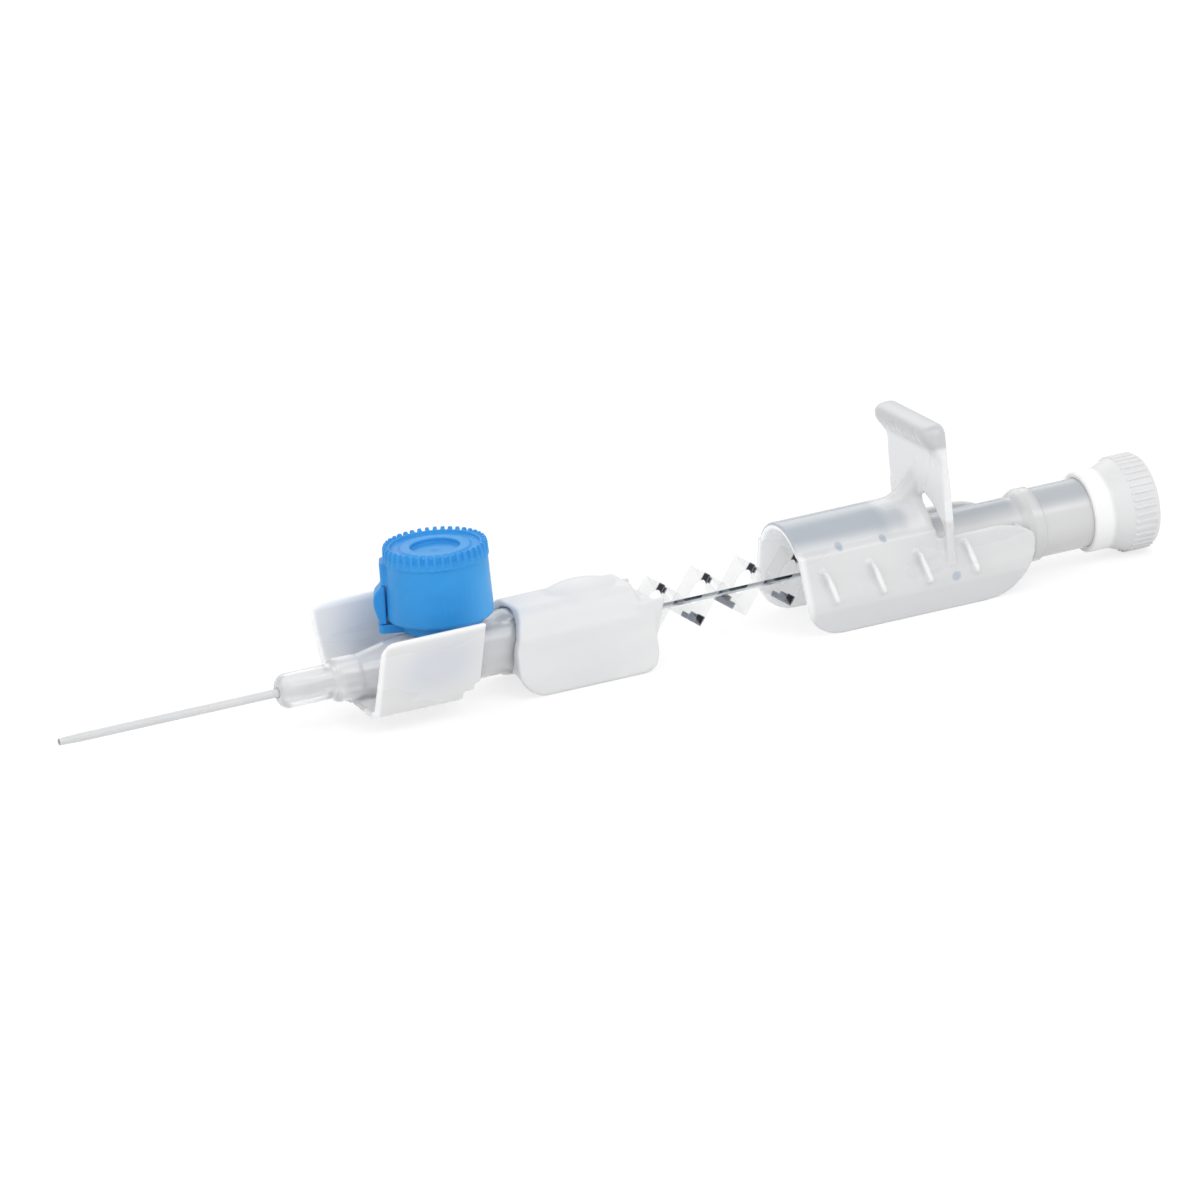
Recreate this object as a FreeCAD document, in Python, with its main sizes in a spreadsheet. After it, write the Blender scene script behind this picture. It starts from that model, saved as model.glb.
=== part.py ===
"""Winged safety intravenous cannula with an injection port, drawn part way through needle withdrawal.

Every station is measured along the needle axis from the catheter's tip, and every height from that axis.
The finished pieces are moved together so that the origin lies on the floor under the middle of the length.
"""
import FreeCAD, Part
import math
import os
import re
import Sketcher

# Driving dimensions in millimetres
SIZES = {
    # Steel needle
    "needle_radius": 0.28,
    "needle_wall": 0.1,
    "needle_gap": 0.04,
    "needle_tip": 29.0,
    "bevel_run": 2.2,
    # Catheter tube and its metal wedge
    "tube_reach": 25.1,
    "tube_wall": 0.13,
    "tip_taper": 2.4,
    "tip_land": 0.05,
    "flare_depth": 4.1,
    "flare_lead": 0.3,
    "wedge_wall": 0.12,
    "wedge_grip": 1.1,
    "funnel_run": 2.4,
    "funnel_radius": 1.05,
    "seat_gap": 0.02,
    # Catheter hub
    "nose_radius": 1.85,
    "nose_round": 1.1,
    "nose_length": 6.2,
    "collar_radius": 2.35,
    "collar_round": 0.25,
    "collar_length": 2.9,
    "cone_root": 2.2,
    "cone_length": 5.3,
    "barrel_radius": 3.2,
    "barrel_length": 13.0,
    "flow_radius": 1.2,
    "socket_depth": 4.7,
    "socket_radius": 2.15,
    "socket_taper": 0.03,
    "lug_radius": 3.5,
    "lug_length": 2.3,
    "lug_angle": 64.0,
    # Valve sleeve under the port
    "valve_radius": 2.3,
    "valve_length": 6.6,
    "valve_wall": 0.65,
    # Wings
    "wing_front": 33.4,
    "wing_chord": 11.9,
    "wing_half_span": 9.4,
    "wing_top": 5.6,
    "wing_thickness": 0.65,
    "wing_root": 4.1,
    "wing_sag": 3.15,
    "wing_bend": 1.2,
    "web_height": 2.3,
    "wing_corner": 1.6,
    "wing_notch_run": 1.9,
    "wing_notch_rise": 1.7,
    # Injection port
    "port_setback": 4.9,
    "port_radius": 2.7,
    "port_lip": 0.3,
    "port_lip_height": 0.5,
    "port_top": 9.0,
    "port_bore": 2.1,
    "port_floor": 3.9,
    "throat_radius": 0.9,
    # Port cap with its collar and strap
    "ring_base": 3.3,
    "ring_height": 0.9,
    "ring_radius": 4.2,
    "ring_gap": 0.05,
    "ring_tab_reach": 6.5,
    "ring_tab_width": 3.0,
    "cap_lift_gap": 0.2,
    "cap_height": 7.8,
    "cap_foot_radius": 5.6,
    "cap_top_radius": 5.2,
    "cap_wall": 0.8,
    "cap_roof": 1.3,
    "cap_foot_round": 0.4,
    "tooth_count": 40.0,
    "tooth_height": 0.8,
    "tooth_foot_width": 0.5,
    "tooth_tip_width": 0.23,
    "tooth_depth": 0.22,
    "rim_width": 0.5,
    "rim_step": 0.35,
    "dish_radius": 3.75,
    "dish_lip": 0.18,
    "dish_centre": 2.6,
    "dimple_radius": 0.7,
    "spigot_reach": 3.0,
    "strap_turn": 154.0,
    "strap_width": 2.8,
    "strap_thickness": 0.6,
    "strap_bow": 6.5,
    "boss_reach": 5.95,
    "boss_base": 8.4,
    "boss_height": 2.4,
    # Tip guard
    "guard_setback": 1.9,
    "guard_length": 16.1,
    "guard_lean": 1.4,
    "guard_top": 4.05,
    "guard_shoulder": 3.0,
    "guard_waist": 4.6,
    "guard_skirt": 4.95,
    "guard_wall": 0.7,
    "guard_block": 2.8,
    "guard_front_round": 3.3,
    "guard_rear_round": 1.8,
    "guard_step_run": 1.4,
    "guard_step_drop": 1.4,
    "recess_gap": 0.1,
    "recess_depth": 2.4,
    "dome_setback": 9.8,
    "dome_length": 10.0,
    "dome_width": 6.4,
    "dome_rise": 0.95,
    "dome_sink": 1.2,
    "nose_reach": 4.0,
    "chamber_start": 0.9,
    "chamber_width": 3.8,
    "chamber_height": 4.2,
    "cover_thickness": 0.8,
    # Steel tip clip
    "clip_thickness": 0.15,
    "clip_width": 2.6,
    "clip_front_gap": 0.25,
    "clip_rear_gap": 0.85,
    "clip_pinch": 0.07,
    "clip_pinch_run": 1.1,
    "clip_flare": 0.9,
    "clip_height": 3.5,
    # Pleated tether film
    "film_fall": 0.25,
    "film_width": 7.8,
    "film_top": 2.5,
    "film_bottom": 1.6,
    "pleat_pitch": 5.25,
    "pleat_rise_run": 3.1,
    "pleat_count": 6.0,
    "film_tab": 0.1,
    "film_hole_half_width": 1.4,
    "film_hole_half_height": 1.15,
    "film_hole_rise": 0.7,
    # Grip shell
    "shell_wall": 0.6,
    "arch_top": 5.75,
    "arch_radius": 5.2,
    "arch_half_width": 4.45,
    "arch_foot": 3.6,
    "shoulder_half_width": 5.05,
    "shoulder_height": 3.3,
    "bulge_half_width": 6.25,
    "bulge_height": 1.4,
    "skirt_half_width": 5.95,
    "floor_depth": 5.2,
    "arch_length": 16.0,
    "side_length": 26.9,
    "side_rear_top": 2.4,
    "shell_front_gap": 16.8,
    "front_corner": 3.8,
    "rear_corner": 6.0,
    "rear_slope_run": 4.5,
    "rear_slope_fall": 1.5,
    "rear_slope_radius": 7.0,
    "bulkhead_thickness": 1.0,
    "saddle_thickness": 1.2,
    # Thumb fin
    "fin_gap": 0.5,
    "fin_thickness": 0.9,
    "fin_half_width": 6.6,
    "fin_height": 14.8,
    "fin_corner": 1.1,
    "fin_lip": 1.5,
    "fin_lip_height": 1.15,
    "fin_arch_half_width": 5.6,
    "fin_arch_top": 6.5,
    "fin_arch_radius": 6.76,
    "gusset_run": 5.6,
    "gusset_radius": 7.0,
    "gusset_top": 10.2,
    "gusset_thickness": 2.4,
    # Finger ribs
    "rib_count": 4.0,
    "rib_pitch": 5.45,
    "rib_setback": 3.0,
    "rib_height": 3.6,
    "rib_width": 0.9,
    "rib_slant": 1.0,
    "rib_rise": 0.35,
    # Flash chamber
    "holder_radius": 1.0,
    "holder_reach": 0.1,
    "neck_radius": 1.6,
    "shoulder_gap": 0.05,
    "small_tube_radius": 3.3,
    "chamber_wall": 0.7,
    "chamber_radius": 3.7,
    "flange_radius": 3.95,
    "flange_length": 2.2,
    "chamber_length": 11.15,
    "bond_depth": 4.5,
    # End plug and vent filter
    "plug_sleeve_radius": 4.3,
    "plug_overlap": 3.2,
    "plug_neck_run": 0.6,
    "plug_head_radius": 4.95,
    "plug_head_length": 4.2,
    "plug_flare_run": 1.6,
    "plug_nose_reach": 4.0,
    "plug_gap": 0.04,
    "plug_end_wall": 1.0,
    "plug_end_round": 0.6,
    "knurl_count": 40.0,
    "knurl_depth": 0.16,
    "knurl_foot_width": 0.47,
    "knurl_tip_width": 0.22,
    "vent_radius": 0.9,
    "filter_radius": 1.7,
    "filter_thickness": 0.8,
}

# Stations along the needle axis and other sums of the driving dimensions
TUBE_BORE = "(needle_radius + needle_gap)"
TUBE_RADIUS = f"({TUBE_BORE} + tube_wall)"
FLARE_START = "(tube_reach - flare_lead)"
FLARE_END = "(tube_reach + flare_depth)"
TUBE_END = f"({FLARE_END} + wedge_grip)"
WEDGE_RADIUS = f"({TUBE_BORE} + wedge_wall)"
FLARE_BORE = f"({WEDGE_RADIUS} + seat_gap)"
FLARE_RADIUS = f"({FLARE_BORE} + tube_wall)"
FUNNEL_END = f"({TUBE_END} + funnel_run)"
COLLAR_START = "(tube_reach + nose_length)"
CONE_START = f"({COLLAR_START} + collar_length)"
BARREL_START = f"({CONE_START} + cone_length)"
HUB_END = f"({BARREL_START} + barrel_length)"
SOCKET_START = f"({HUB_END} - socket_depth)"
SOCKET_ROOT = "(socket_radius - socket_taper * socket_depth)"
VALVE_START = f"({SOCKET_START} - valve_length)"
PORT_X = f"({BARREL_START} + port_setback)"
RING_TOP = "(ring_base + ring_height)"
CAP_BASE = f"({RING_TOP} + cap_lift_gap)"
CAP_TOP = f"({CAP_BASE} + cap_height)"
GUARD_START = f"({HUB_END} - guard_setback)"
GUARD_END = f"({GUARD_START} + guard_length)"
PARTITION = f"({GUARD_START} + recess_depth)"
CHAMBER_START = f"({PARTITION} + chamber_start)"
COVER_START = f"({GUARD_END} - cover_thickness)"
FILM_START = f"({GUARD_END} + film_tab)"
SHELL_START = f"({GUARD_END} + shell_front_gap)"
ARCH_END = f"({SHELL_START} + arch_length)"
BULKHEAD_START = f"({ARCH_END} - bulkhead_thickness)"
SIDE_END = f"({SHELL_START} + side_length)"
SADDLE_START = f"({SIDE_END} - saddle_thickness)"
FIN_START = f"({ARCH_END} + fin_gap)"
HOLDER_START = f"({BULKHEAD_START} - holder_reach)"
TUBE_SHOULDER = f"({ARCH_END} + shoulder_gap)"
FLANGE_START = f"({SIDE_END} + shoulder_gap)"
CHAMBER_REAR = f"({FLANGE_START} + chamber_length)"
NEEDLE_END = f"({HOLDER_START} + bond_depth)"
SLEEVE_START = f"({CHAMBER_REAR} - plug_overlap)"
HEAD_START = f"({CHAMBER_REAR} + plug_gap)"
PLUG_END = f"({HEAD_START} + plug_head_length)"
FLOOR = "(0 - floor_depth)"

os.makedirs("parts", exist_ok=True)
doc = FreeCAD.newDocument("iv_cannula")
sheet = doc.addObject("Spreadsheet::Sheet", "Sizes")
for row, (alias, size) in enumerate(SIZES.items(), start=1):
    sheet.set(f"A{row}", str(size))
    sheet.setAlias(f"A{row}", alias)
doc.recompute()

# The side of the way to which an arc in an outline bulges
SIDES = {"left": 1, "right": -1}

pieces = []


def rule(text):
    """Turns words that name sizes into the sheet's cells."""
    return re.sub(r"[a-z][a-z_0-9]*", r"Sizes.\g<0>", str(text))


def value(text):
    """Gives the number that a rule stands for."""
    return float(sheet.evalExpression(rule(text)))


def bind(thing, prop, text):
    """Ties a property to a rule."""
    thing.setExpression(prop, rule(text))


def new_piece(name):
    """Starts a body, placed so that the part stands on the floor about its middle."""
    body = doc.addObject("PartDesign::Body", name)
    body.Label = name
    place(body)
    pieces.append(body)
    return body


def place(thing):
    """Moves a piece from the needle's axis to the part's own frame."""
    bind(thing, "Placement.Base.x", f"0 - {PLUG_END} / 2")
    bind(thing, "Placement.Base.z", "floor_depth")


def new_sketch(body, role, name, across="0", up="0", off="0"):
    """Puts an empty sketch on one of the body's own planes, moved by the three rules."""
    sketch = body.newObject("Sketcher::SketchObject", name)
    plane = [face for face in body.Origin.OriginFeatures if face.Role == role][0]
    sketch.AttachmentSupport = [(plane, "")]
    sketch.MapMode = "FlatFace"
    for axis, text in zip("xyz", (across, up, off)):
        bind(sketch, f"AttachmentOffset.Base.{axis}", text)
    return sketch


def pin(sketch, geo, end, corner):
    """Fixes a point of a sketch at the two rules of a corner."""
    for kind, text in (("DistanceX", corner[0]), ("DistanceY", corner[1])):
        index = sketch.addConstraint(Sketcher.Constraint(kind, -1, 1, geo, end, value(text)))
        bind(sketch, f"Constraints[{index}]", text)


def limit_radius(sketch, geo, text):
    """Ties the radius of an arc or circle to a rule."""
    index = sketch.addConstraint(Sketcher.Constraint("Radius", geo, value(text)))
    bind(sketch, f"Constraints[{index}]", text)


def arc_centre(start, end, radius, side):
    """Gives the centre of the arc that bulges to the left of the way where side is 1, or to the right."""
    chord = end - start
    half = chord.Length / 2
    left = FreeCAD.Vector(-chord.y, chord.x, 0).normalize()
    return (start + end) * 0.5 - left * side * math.sqrt(max(radius ** 2 - half ** 2, 0))


def outline(sketch, corners):
    """Draws a closed outline through corners.

    Each corner is (across, up), or (across, up, "round", radius) where it is rounded. Where the edge to
    the next corner is an arc, it is (across, up, "left", radius) or (across, up, "right", radius), by the
    side of the way to which the arc bulges.
    """
    spots = [FreeCAD.Vector(value(corner[0]), value(corner[1]), 0) for corner in corners]
    count = len(spots)
    cuts = [0.0] * count
    for i, corner in enumerate(corners):
        if len(corner) > 2 and corner[2] == "round":
            back = (spots[i - 1] - spots[i]).normalize()
            ahead = (spots[(i + 1) % count] - spots[i]).normalize()
            cuts[i] = value(corner[3]) / math.tan(back.getAngle(ahead) / 2)
    edges = []
    for i, corner in enumerate(corners):
        start = spots[i]
        end = spots[(i + 1) % count]
        if len(corner) > 2 and corner[2] in SIDES:
            centre = arc_centre(start, end, value(corner[3]), SIDES[corner[2]])
            circle = Part.Circle(centre, FreeCAD.Vector(0, 0, 1), value(corner[3]))
            angle_a = math.atan2(start.y - centre.y, start.x - centre.x)
            angle_b = math.atan2(end.y - centre.y, end.x - centre.x)
            turned = corner[2] == "left"
            first, last = (angle_b, angle_a) if turned else (angle_a, angle_b)
            edges.append((sketch.addGeometry(Part.ArcOfCircle(circle, first, last), False),
                          2 if turned else 1, 1 if turned else 2))
        else:
            way = (end - start).normalize()
            line = Part.LineSegment(start + way * cuts[i], end - way * cuts[(i + 1) % count])
            edges.append((sketch.addGeometry(line, False), 1, 2))
    for i, corner in enumerate(corners):
        here, start_end, _ = edges[i]
        before, _, last_end = edges[i - 1]
        if len(corner) > 2 and corner[2] == "round":
            round_corner(sketch, before, here, spots[i], cuts[i], corner)
        else:
            sketch.addConstraint(Sketcher.Constraint("Coincident", before, last_end, here, start_end))
            pin(sketch, here, start_end, corner)
    for i, corner in enumerate(corners):
        if len(corner) > 2 and corner[2] in SIDES:
            limit_radius(sketch, edges[i][0], corner[3])
    return sketch


def round_corner(sketch, before, here, spot, cut, corner):
    """Joins two lines with a tangent arc whose sharp corner stays at its rules."""
    start = sketch.Geometry[before].EndPoint
    end = sketch.Geometry[here].StartPoint
    back = (start - spot).normalize()
    ahead = (end - spot).normalize()
    radius = cut * math.tan(back.getAngle(ahead) / 2)
    centre = spot + (back + ahead).normalize() * math.hypot(radius, cut)
    circle = Part.Circle(centre, FreeCAD.Vector(0, 0, 1), radius)
    turn_left = back.cross(ahead).z < 0
    angle_a = math.atan2(start.y - centre.y, start.x - centre.x)
    angle_b = math.atan2(end.y - centre.y, end.x - centre.x)
    first, last = (angle_a, angle_b) if turn_left else (angle_b, angle_a)
    arc = sketch.addGeometry(Part.ArcOfCircle(circle, first, last), False)
    arc_start, arc_end = (1, 2) if turn_left else (2, 1)
    point = sketch.addGeometry(Part.Point(spot), True)
    sketch.addConstraint(Sketcher.Constraint("PointOnObject", point, 1, before))
    sketch.addConstraint(Sketcher.Constraint("PointOnObject", point, 1, here))
    sketch.addConstraint(Sketcher.Constraint("Tangent", before, 2, arc, arc_start))
    sketch.addConstraint(Sketcher.Constraint("Tangent", arc, arc_end, here, 1))
    limit_radius(sketch, arc, corner[3])
    pin(sketch, point, 1, corner)


def ring(sketch, across, up, radius):
    """Draws a circle."""
    centre = FreeCAD.Vector(value(across), value(up), 0)
    geo = sketch.addGeometry(Part.Circle(centre, FreeCAD.Vector(0, 0, 1), value(radius)), False)
    pin(sketch, geo, 3, (across, up))
    limit_radius(sketch, geo, radius)
    return sketch


def feature(body, kind, name, sketch):
    """Adds a feature of a sketch to a body."""
    made = body.newObject(f"PartDesign::{kind}", name)
    made.Profile = sketch
    sketch.Visibility = False
    return made


def pad(body, name, sketch, length, middle=False, back=False):
    """Raises a sketch by a length."""
    made = feature(body, "Pad", name, sketch)
    bind(made, "Length", length)
    made.Midplane = middle
    made.Reversed = back
    doc.recompute()
    return made


def pocket(body, name, sketch, length, middle=False, back=False):
    """Cuts a sketch into the body by a length; back cuts along the sketch's normal."""
    size = body.Shape.Volume
    made = feature(body, "Pocket", name, sketch)
    bind(made, "Length", length)
    made.Midplane = middle
    made.Reversed = back
    doc.recompute()
    if body.Shape.Volume >= size:
        raise ValueError(f"{name} cuts nothing")
    return made


def turn(body, name, sketch, axis="H_Axis", angle=None):
    """Revolves a sketch about one of its axes."""
    made = feature(body, "Revolution", name, sketch)
    made.ReferenceAxis = (sketch, [axis])
    if angle is not None:
        bind(made, "Angle", angle)
        made.Midplane = True
    doc.recompute()
    return made


def groove(body, name, sketch, axis="H_Axis"):
    """Cuts a revolved sketch out of the body."""
    size = body.Shape.Volume
    made = feature(body, "Groove", name, sketch)
    made.ReferenceAxis = (sketch, [axis])
    doc.recompute()
    if body.Shape.Volume >= size:
        raise ValueError(f"{name} cuts nothing")
    return made


def origin_axis(body, role):
    """Finds one of the body's own axes or planes."""
    return [face for face in body.Origin.OriginFeatures if face.Role == role][0]


def mirror(body, name, originals):
    """Repeats features on the other side of the middle plane."""
    made = body.newObject("PartDesign::Mirrored", name)
    made.Originals = originals
    made.MirrorPlane = (origin_axis(body, "XZ_Plane"), [""])
    body.Tip = made
    doc.recompute()
    return made


def polar(body, name, originals, axis, count):
    """Repeats features round an axis."""
    made = body.newObject("PartDesign::PolarPattern", name)
    made.Originals = originals
    made.Axis = axis
    made.Angle = 360
    bind(made, "Occurrences", count)
    body.Tip = made
    doc.recompute()
    return made


def row(body, name, originals, step, count):
    """Repeats features along the needle axis."""
    made = body.newObject("PartDesign::LinearPattern", name)
    made.Originals = originals
    made.Direction = (origin_axis(body, "X_Axis"), [""])
    bind(made, "Length", f"{step} * ({count} - 1)")
    bind(made, "Occurrences", count)
    body.Tip = made
    doc.recompute()
    return made


def make_catheter_tube():
    """Makes the soft tube with its tapered tip and the flare that the wedge spreads."""
    body = new_piece("catheter_tube")
    profile = outline(new_sketch(body, "XZ_Plane", "tube_wall_profile"), [
        ("0", TUBE_BORE),
        ("0", f"{TUBE_BORE} + tip_land"),
        ("tip_taper", TUBE_RADIUS),
        (FLARE_START, TUBE_RADIUS),
        (FLARE_END, FLARE_RADIUS),
        (TUBE_END, FLARE_RADIUS),
        (TUBE_END, FLARE_BORE),
        (FLARE_END, FLARE_BORE),
        (FLARE_START, TUBE_BORE),
    ])
    turn(body, "tube_wall", profile)


def make_catheter_wedge():
    """Makes the metal funnel that holds the tube in the hub's nose."""
    body = new_piece("catheter_wedge")
    profile = outline(new_sketch(body, "XZ_Plane", "funnel_profile"), [
        (FLARE_END, TUBE_BORE),
        (FLARE_END, WEDGE_RADIUS),
        (TUBE_END, WEDGE_RADIUS),
        (FUNNEL_END, "funnel_radius"),
        (FUNNEL_END, "funnel_radius - wedge_wall"),
        (TUBE_END, TUBE_BORE),
    ])
    turn(body, "funnel", profile)


def make_catheter_hub():
    """Makes the clear hub with its nose, collar, barrel, wings, injection port and rear socket."""
    body = new_piece("catheter_hub")
    skin = outline(new_sketch(body, "XZ_Plane", "hub_profile"), [
        ("tube_reach", "0"),
        ("tube_reach", "nose_radius", "round", "nose_round"),
        (COLLAR_START, "nose_radius"),
        (COLLAR_START, "collar_radius - collar_round"),
        (f"{COLLAR_START} + collar_round", "collar_radius"),
        (f"{CONE_START} - collar_round", "collar_radius"),
        (CONE_START, "cone_root"),
        (BARREL_START, "barrel_radius"),
        (HUB_END, "barrel_radius"),
        (HUB_END, "0"),
    ])
    turn(body, "hub_skin", skin)

    wing_path = outline(new_sketch(body, "YZ_Plane", "wing_section", off="wing_front"), [
        ("0", "0 - web_height"),
        ("0 - wing_root", "0 - wing_sag + wing_thickness / 2"),
        ("0 - wing_root - wing_bend", "0 - wing_sag + wing_thickness"),
        ("0 - wing_half_span + wing_thickness", "wing_top"),
        ("0 - wing_half_span", "wing_top"),
        ("0 - wing_root - wing_bend - wing_thickness", "0 - wing_sag", "round", "wing_bend / 2"),
        ("0 - wing_root", "0 - wing_sag - wing_thickness / 2"),
        ("0", "0 - web_height - wing_thickness"),
    ])
    wing = pad(body, "wing", wing_path, "wing_chord")

    corner = new_sketch(body, "XZ_Plane", "wing_corners", off="barrel_radius")
    outline(corner, [
        ("wing_front", "wing_top - wing_corner", "left", "wing_corner"),
        ("wing_front + wing_corner", "wing_top"),
        ("wing_front + wing_corner", "wing_top + wing_corner"),
        ("wing_front - wing_corner", "wing_top + wing_corner"),
        ("wing_front - wing_corner", "wing_top - wing_corner"),
    ])
    outline(corner, [
        ("wing_front + wing_chord - wing_notch_run", "0 - wing_sag - wing_thickness"),
        ("wing_front + wing_chord - wing_notch_run", "0 - wing_sag + wing_notch_rise / 2"),
        ("wing_front + wing_chord - wing_notch_run / 3", "0 - wing_sag + wing_notch_rise / 2"),
        ("wing_front + wing_chord - wing_notch_run / 3", "0 - wing_sag + wing_notch_rise"),
        ("wing_front + wing_chord + wing_notch_run", "0 - wing_sag + wing_notch_rise"),
        ("wing_front + wing_chord + wing_notch_run", "0 - wing_sag - wing_thickness"),
    ])
    trim = pocket(body, "wing_corner_cut", corner, "wing_half_span", back=True)
    mirror(body, "other_wing", [wing, trim])

    lug = outline(new_sketch(body, "XZ_Plane", "lug_profile"), [
        (f"{HUB_END} - lug_length", "barrel_radius - port_lip"),
        (f"{HUB_END} - lug_length", "barrel_radius"),
        (f"{HUB_END} - lug_length / 2", "lug_radius"),
        (HUB_END, "lug_radius"),
        (HUB_END, "barrel_radius - port_lip"),
    ])
    ear = turn(body, "lug", lug, angle="lug_angle")
    polar(body, "lugs", [ear], (origin_axis(body, "X_Axis"), [""]), "2")

    port = outline(new_sketch(body, "XZ_Plane", "port_profile", across=PORT_X), [
        ("0", "0"),
        ("port_radius", "0"),
        ("port_radius", "port_top - 2 * port_lip_height - port_lip"),
        ("port_radius + port_lip", "port_top - 2 * port_lip_height"),
        ("port_radius + port_lip", "port_top - port_lip_height"),
        ("port_radius", "port_top"),
        ("0", "port_top"),
    ])
    turn(body, "port", port, axis="V_Axis")

    bore = outline(new_sketch(body, "XZ_Plane", "bore_profile"), [
        ("0", "0"),
        ("0", f"{TUBE_RADIUS} + seat_gap"),
        (FLARE_START, f"{TUBE_RADIUS} + seat_gap"),
        (FLARE_END, f"{FLARE_RADIUS} + seat_gap"),
        (f"{TUBE_END} + seat_gap", f"{FLARE_RADIUS} + seat_gap"),
        (FUNNEL_END, "funnel_radius + seat_gap + tube_wall / 2"),
        (FUNNEL_END, "flow_radius"),
        (VALVE_START, "flow_radius"),
        (VALVE_START, "valve_radius"),
        (SOCKET_START, "valve_radius"),
        (SOCKET_START, SOCKET_ROOT),
        (HUB_END, "socket_radius"),
        (HUB_END, "0"),
    ])
    groove(body, "bore", bore)

    well = outline(new_sketch(body, "XZ_Plane", "port_bore_profile", across=PORT_X), [
        ("0", "0"),
        ("throat_radius", "0"),
        ("throat_radius", "port_floor - throat_radius"),
        ("port_bore", "port_floor"),
        ("port_bore", "port_top"),
        ("0", "port_top"),
    ])
    groove(body, "port_well", well, axis="V_Axis")


def make_port_valve():
    """Makes the silicone sleeve that closes the port from inside."""
    body = new_piece("port_valve")
    wall = new_sketch(body, "YZ_Plane", "valve_rings", off=f"{VALVE_START} + seat_gap")
    ring(wall, "0", "0", "valve_radius - seat_gap")
    ring(wall, "0", "0", "valve_radius - valve_wall")
    pad(body, "valve_sleeve", wall, "valve_length - 2 * seat_gap")


def turn_about_port(thing):
    """Turns a piece about the port so that its strap side faces front left."""
    bind(thing, "Placement.Base.x", f"{PORT_X} - {PLUG_END} / 2")
    bind(thing, "Placement.Base.z", "floor_depth")
    thing.Placement.Rotation = FreeCAD.Rotation(FreeCAD.Vector(0, 0, 1), 0)
    bind(thing, "Placement.Rotation.Angle", "strap_turn")


def make_cap_collar():
    """Makes the ring that holds the cap's strap on the port's neck."""
    body = new_piece("cap_collar")
    turn_about_port(body)
    disc = ring(new_sketch(body, "XY_Plane", "collar_disc", off="ring_base"), "0", "0", "ring_radius")
    pad(body, "collar_ring", disc, "ring_height")
    tab = outline(new_sketch(body, "XY_Plane", "collar_tab", off="ring_base"), [
        ("port_radius", "0 - ring_tab_width / 2"),
        ("ring_tab_reach", "0 - ring_tab_width / 2", "round", "ring_tab_width / 5"),
        ("ring_tab_reach", "ring_tab_width / 2", "round", "ring_tab_width / 5"),
        ("port_radius", "ring_tab_width / 2"),
    ])
    pad(body, "collar_lug", tab, "ring_height")
    hole = ring(new_sketch(body, "XY_Plane", "collar_hole", off="ring_base"),
                "0", "0", "port_radius + ring_gap")
    pocket(body, "collar_bore", hole, "ring_height", back=True)


def make_cap_strap():
    """Makes the thin hinge strap from the collar's tab to the cap's boss."""
    body = new_piece("cap_strap")
    turn_about_port(body)
    band = outline(new_sketch(body, "XZ_Plane", "strap_path"), [
        ("ring_tab_reach - strap_thickness", RING_TOP),
        ("strap_bow - strap_thickness", f"({RING_TOP} + boss_base) / 2 - cap_roof / 2"),
        ("strap_bow - strap_thickness", f"({RING_TOP} + boss_base) / 2"),
        ("boss_reach - strap_thickness / 2", "boss_base"),
        ("boss_reach", "boss_base"),
        ("strap_bow", f"({RING_TOP} + boss_base) / 2 + strap_thickness"),
        ("strap_bow", f"({RING_TOP} + boss_base) / 2 - cap_roof / 2 - strap_thickness / 2"),
        ("ring_tab_reach", RING_TOP),
    ])
    pad(body, "strap_band", band, "strap_width", middle=True)


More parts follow.
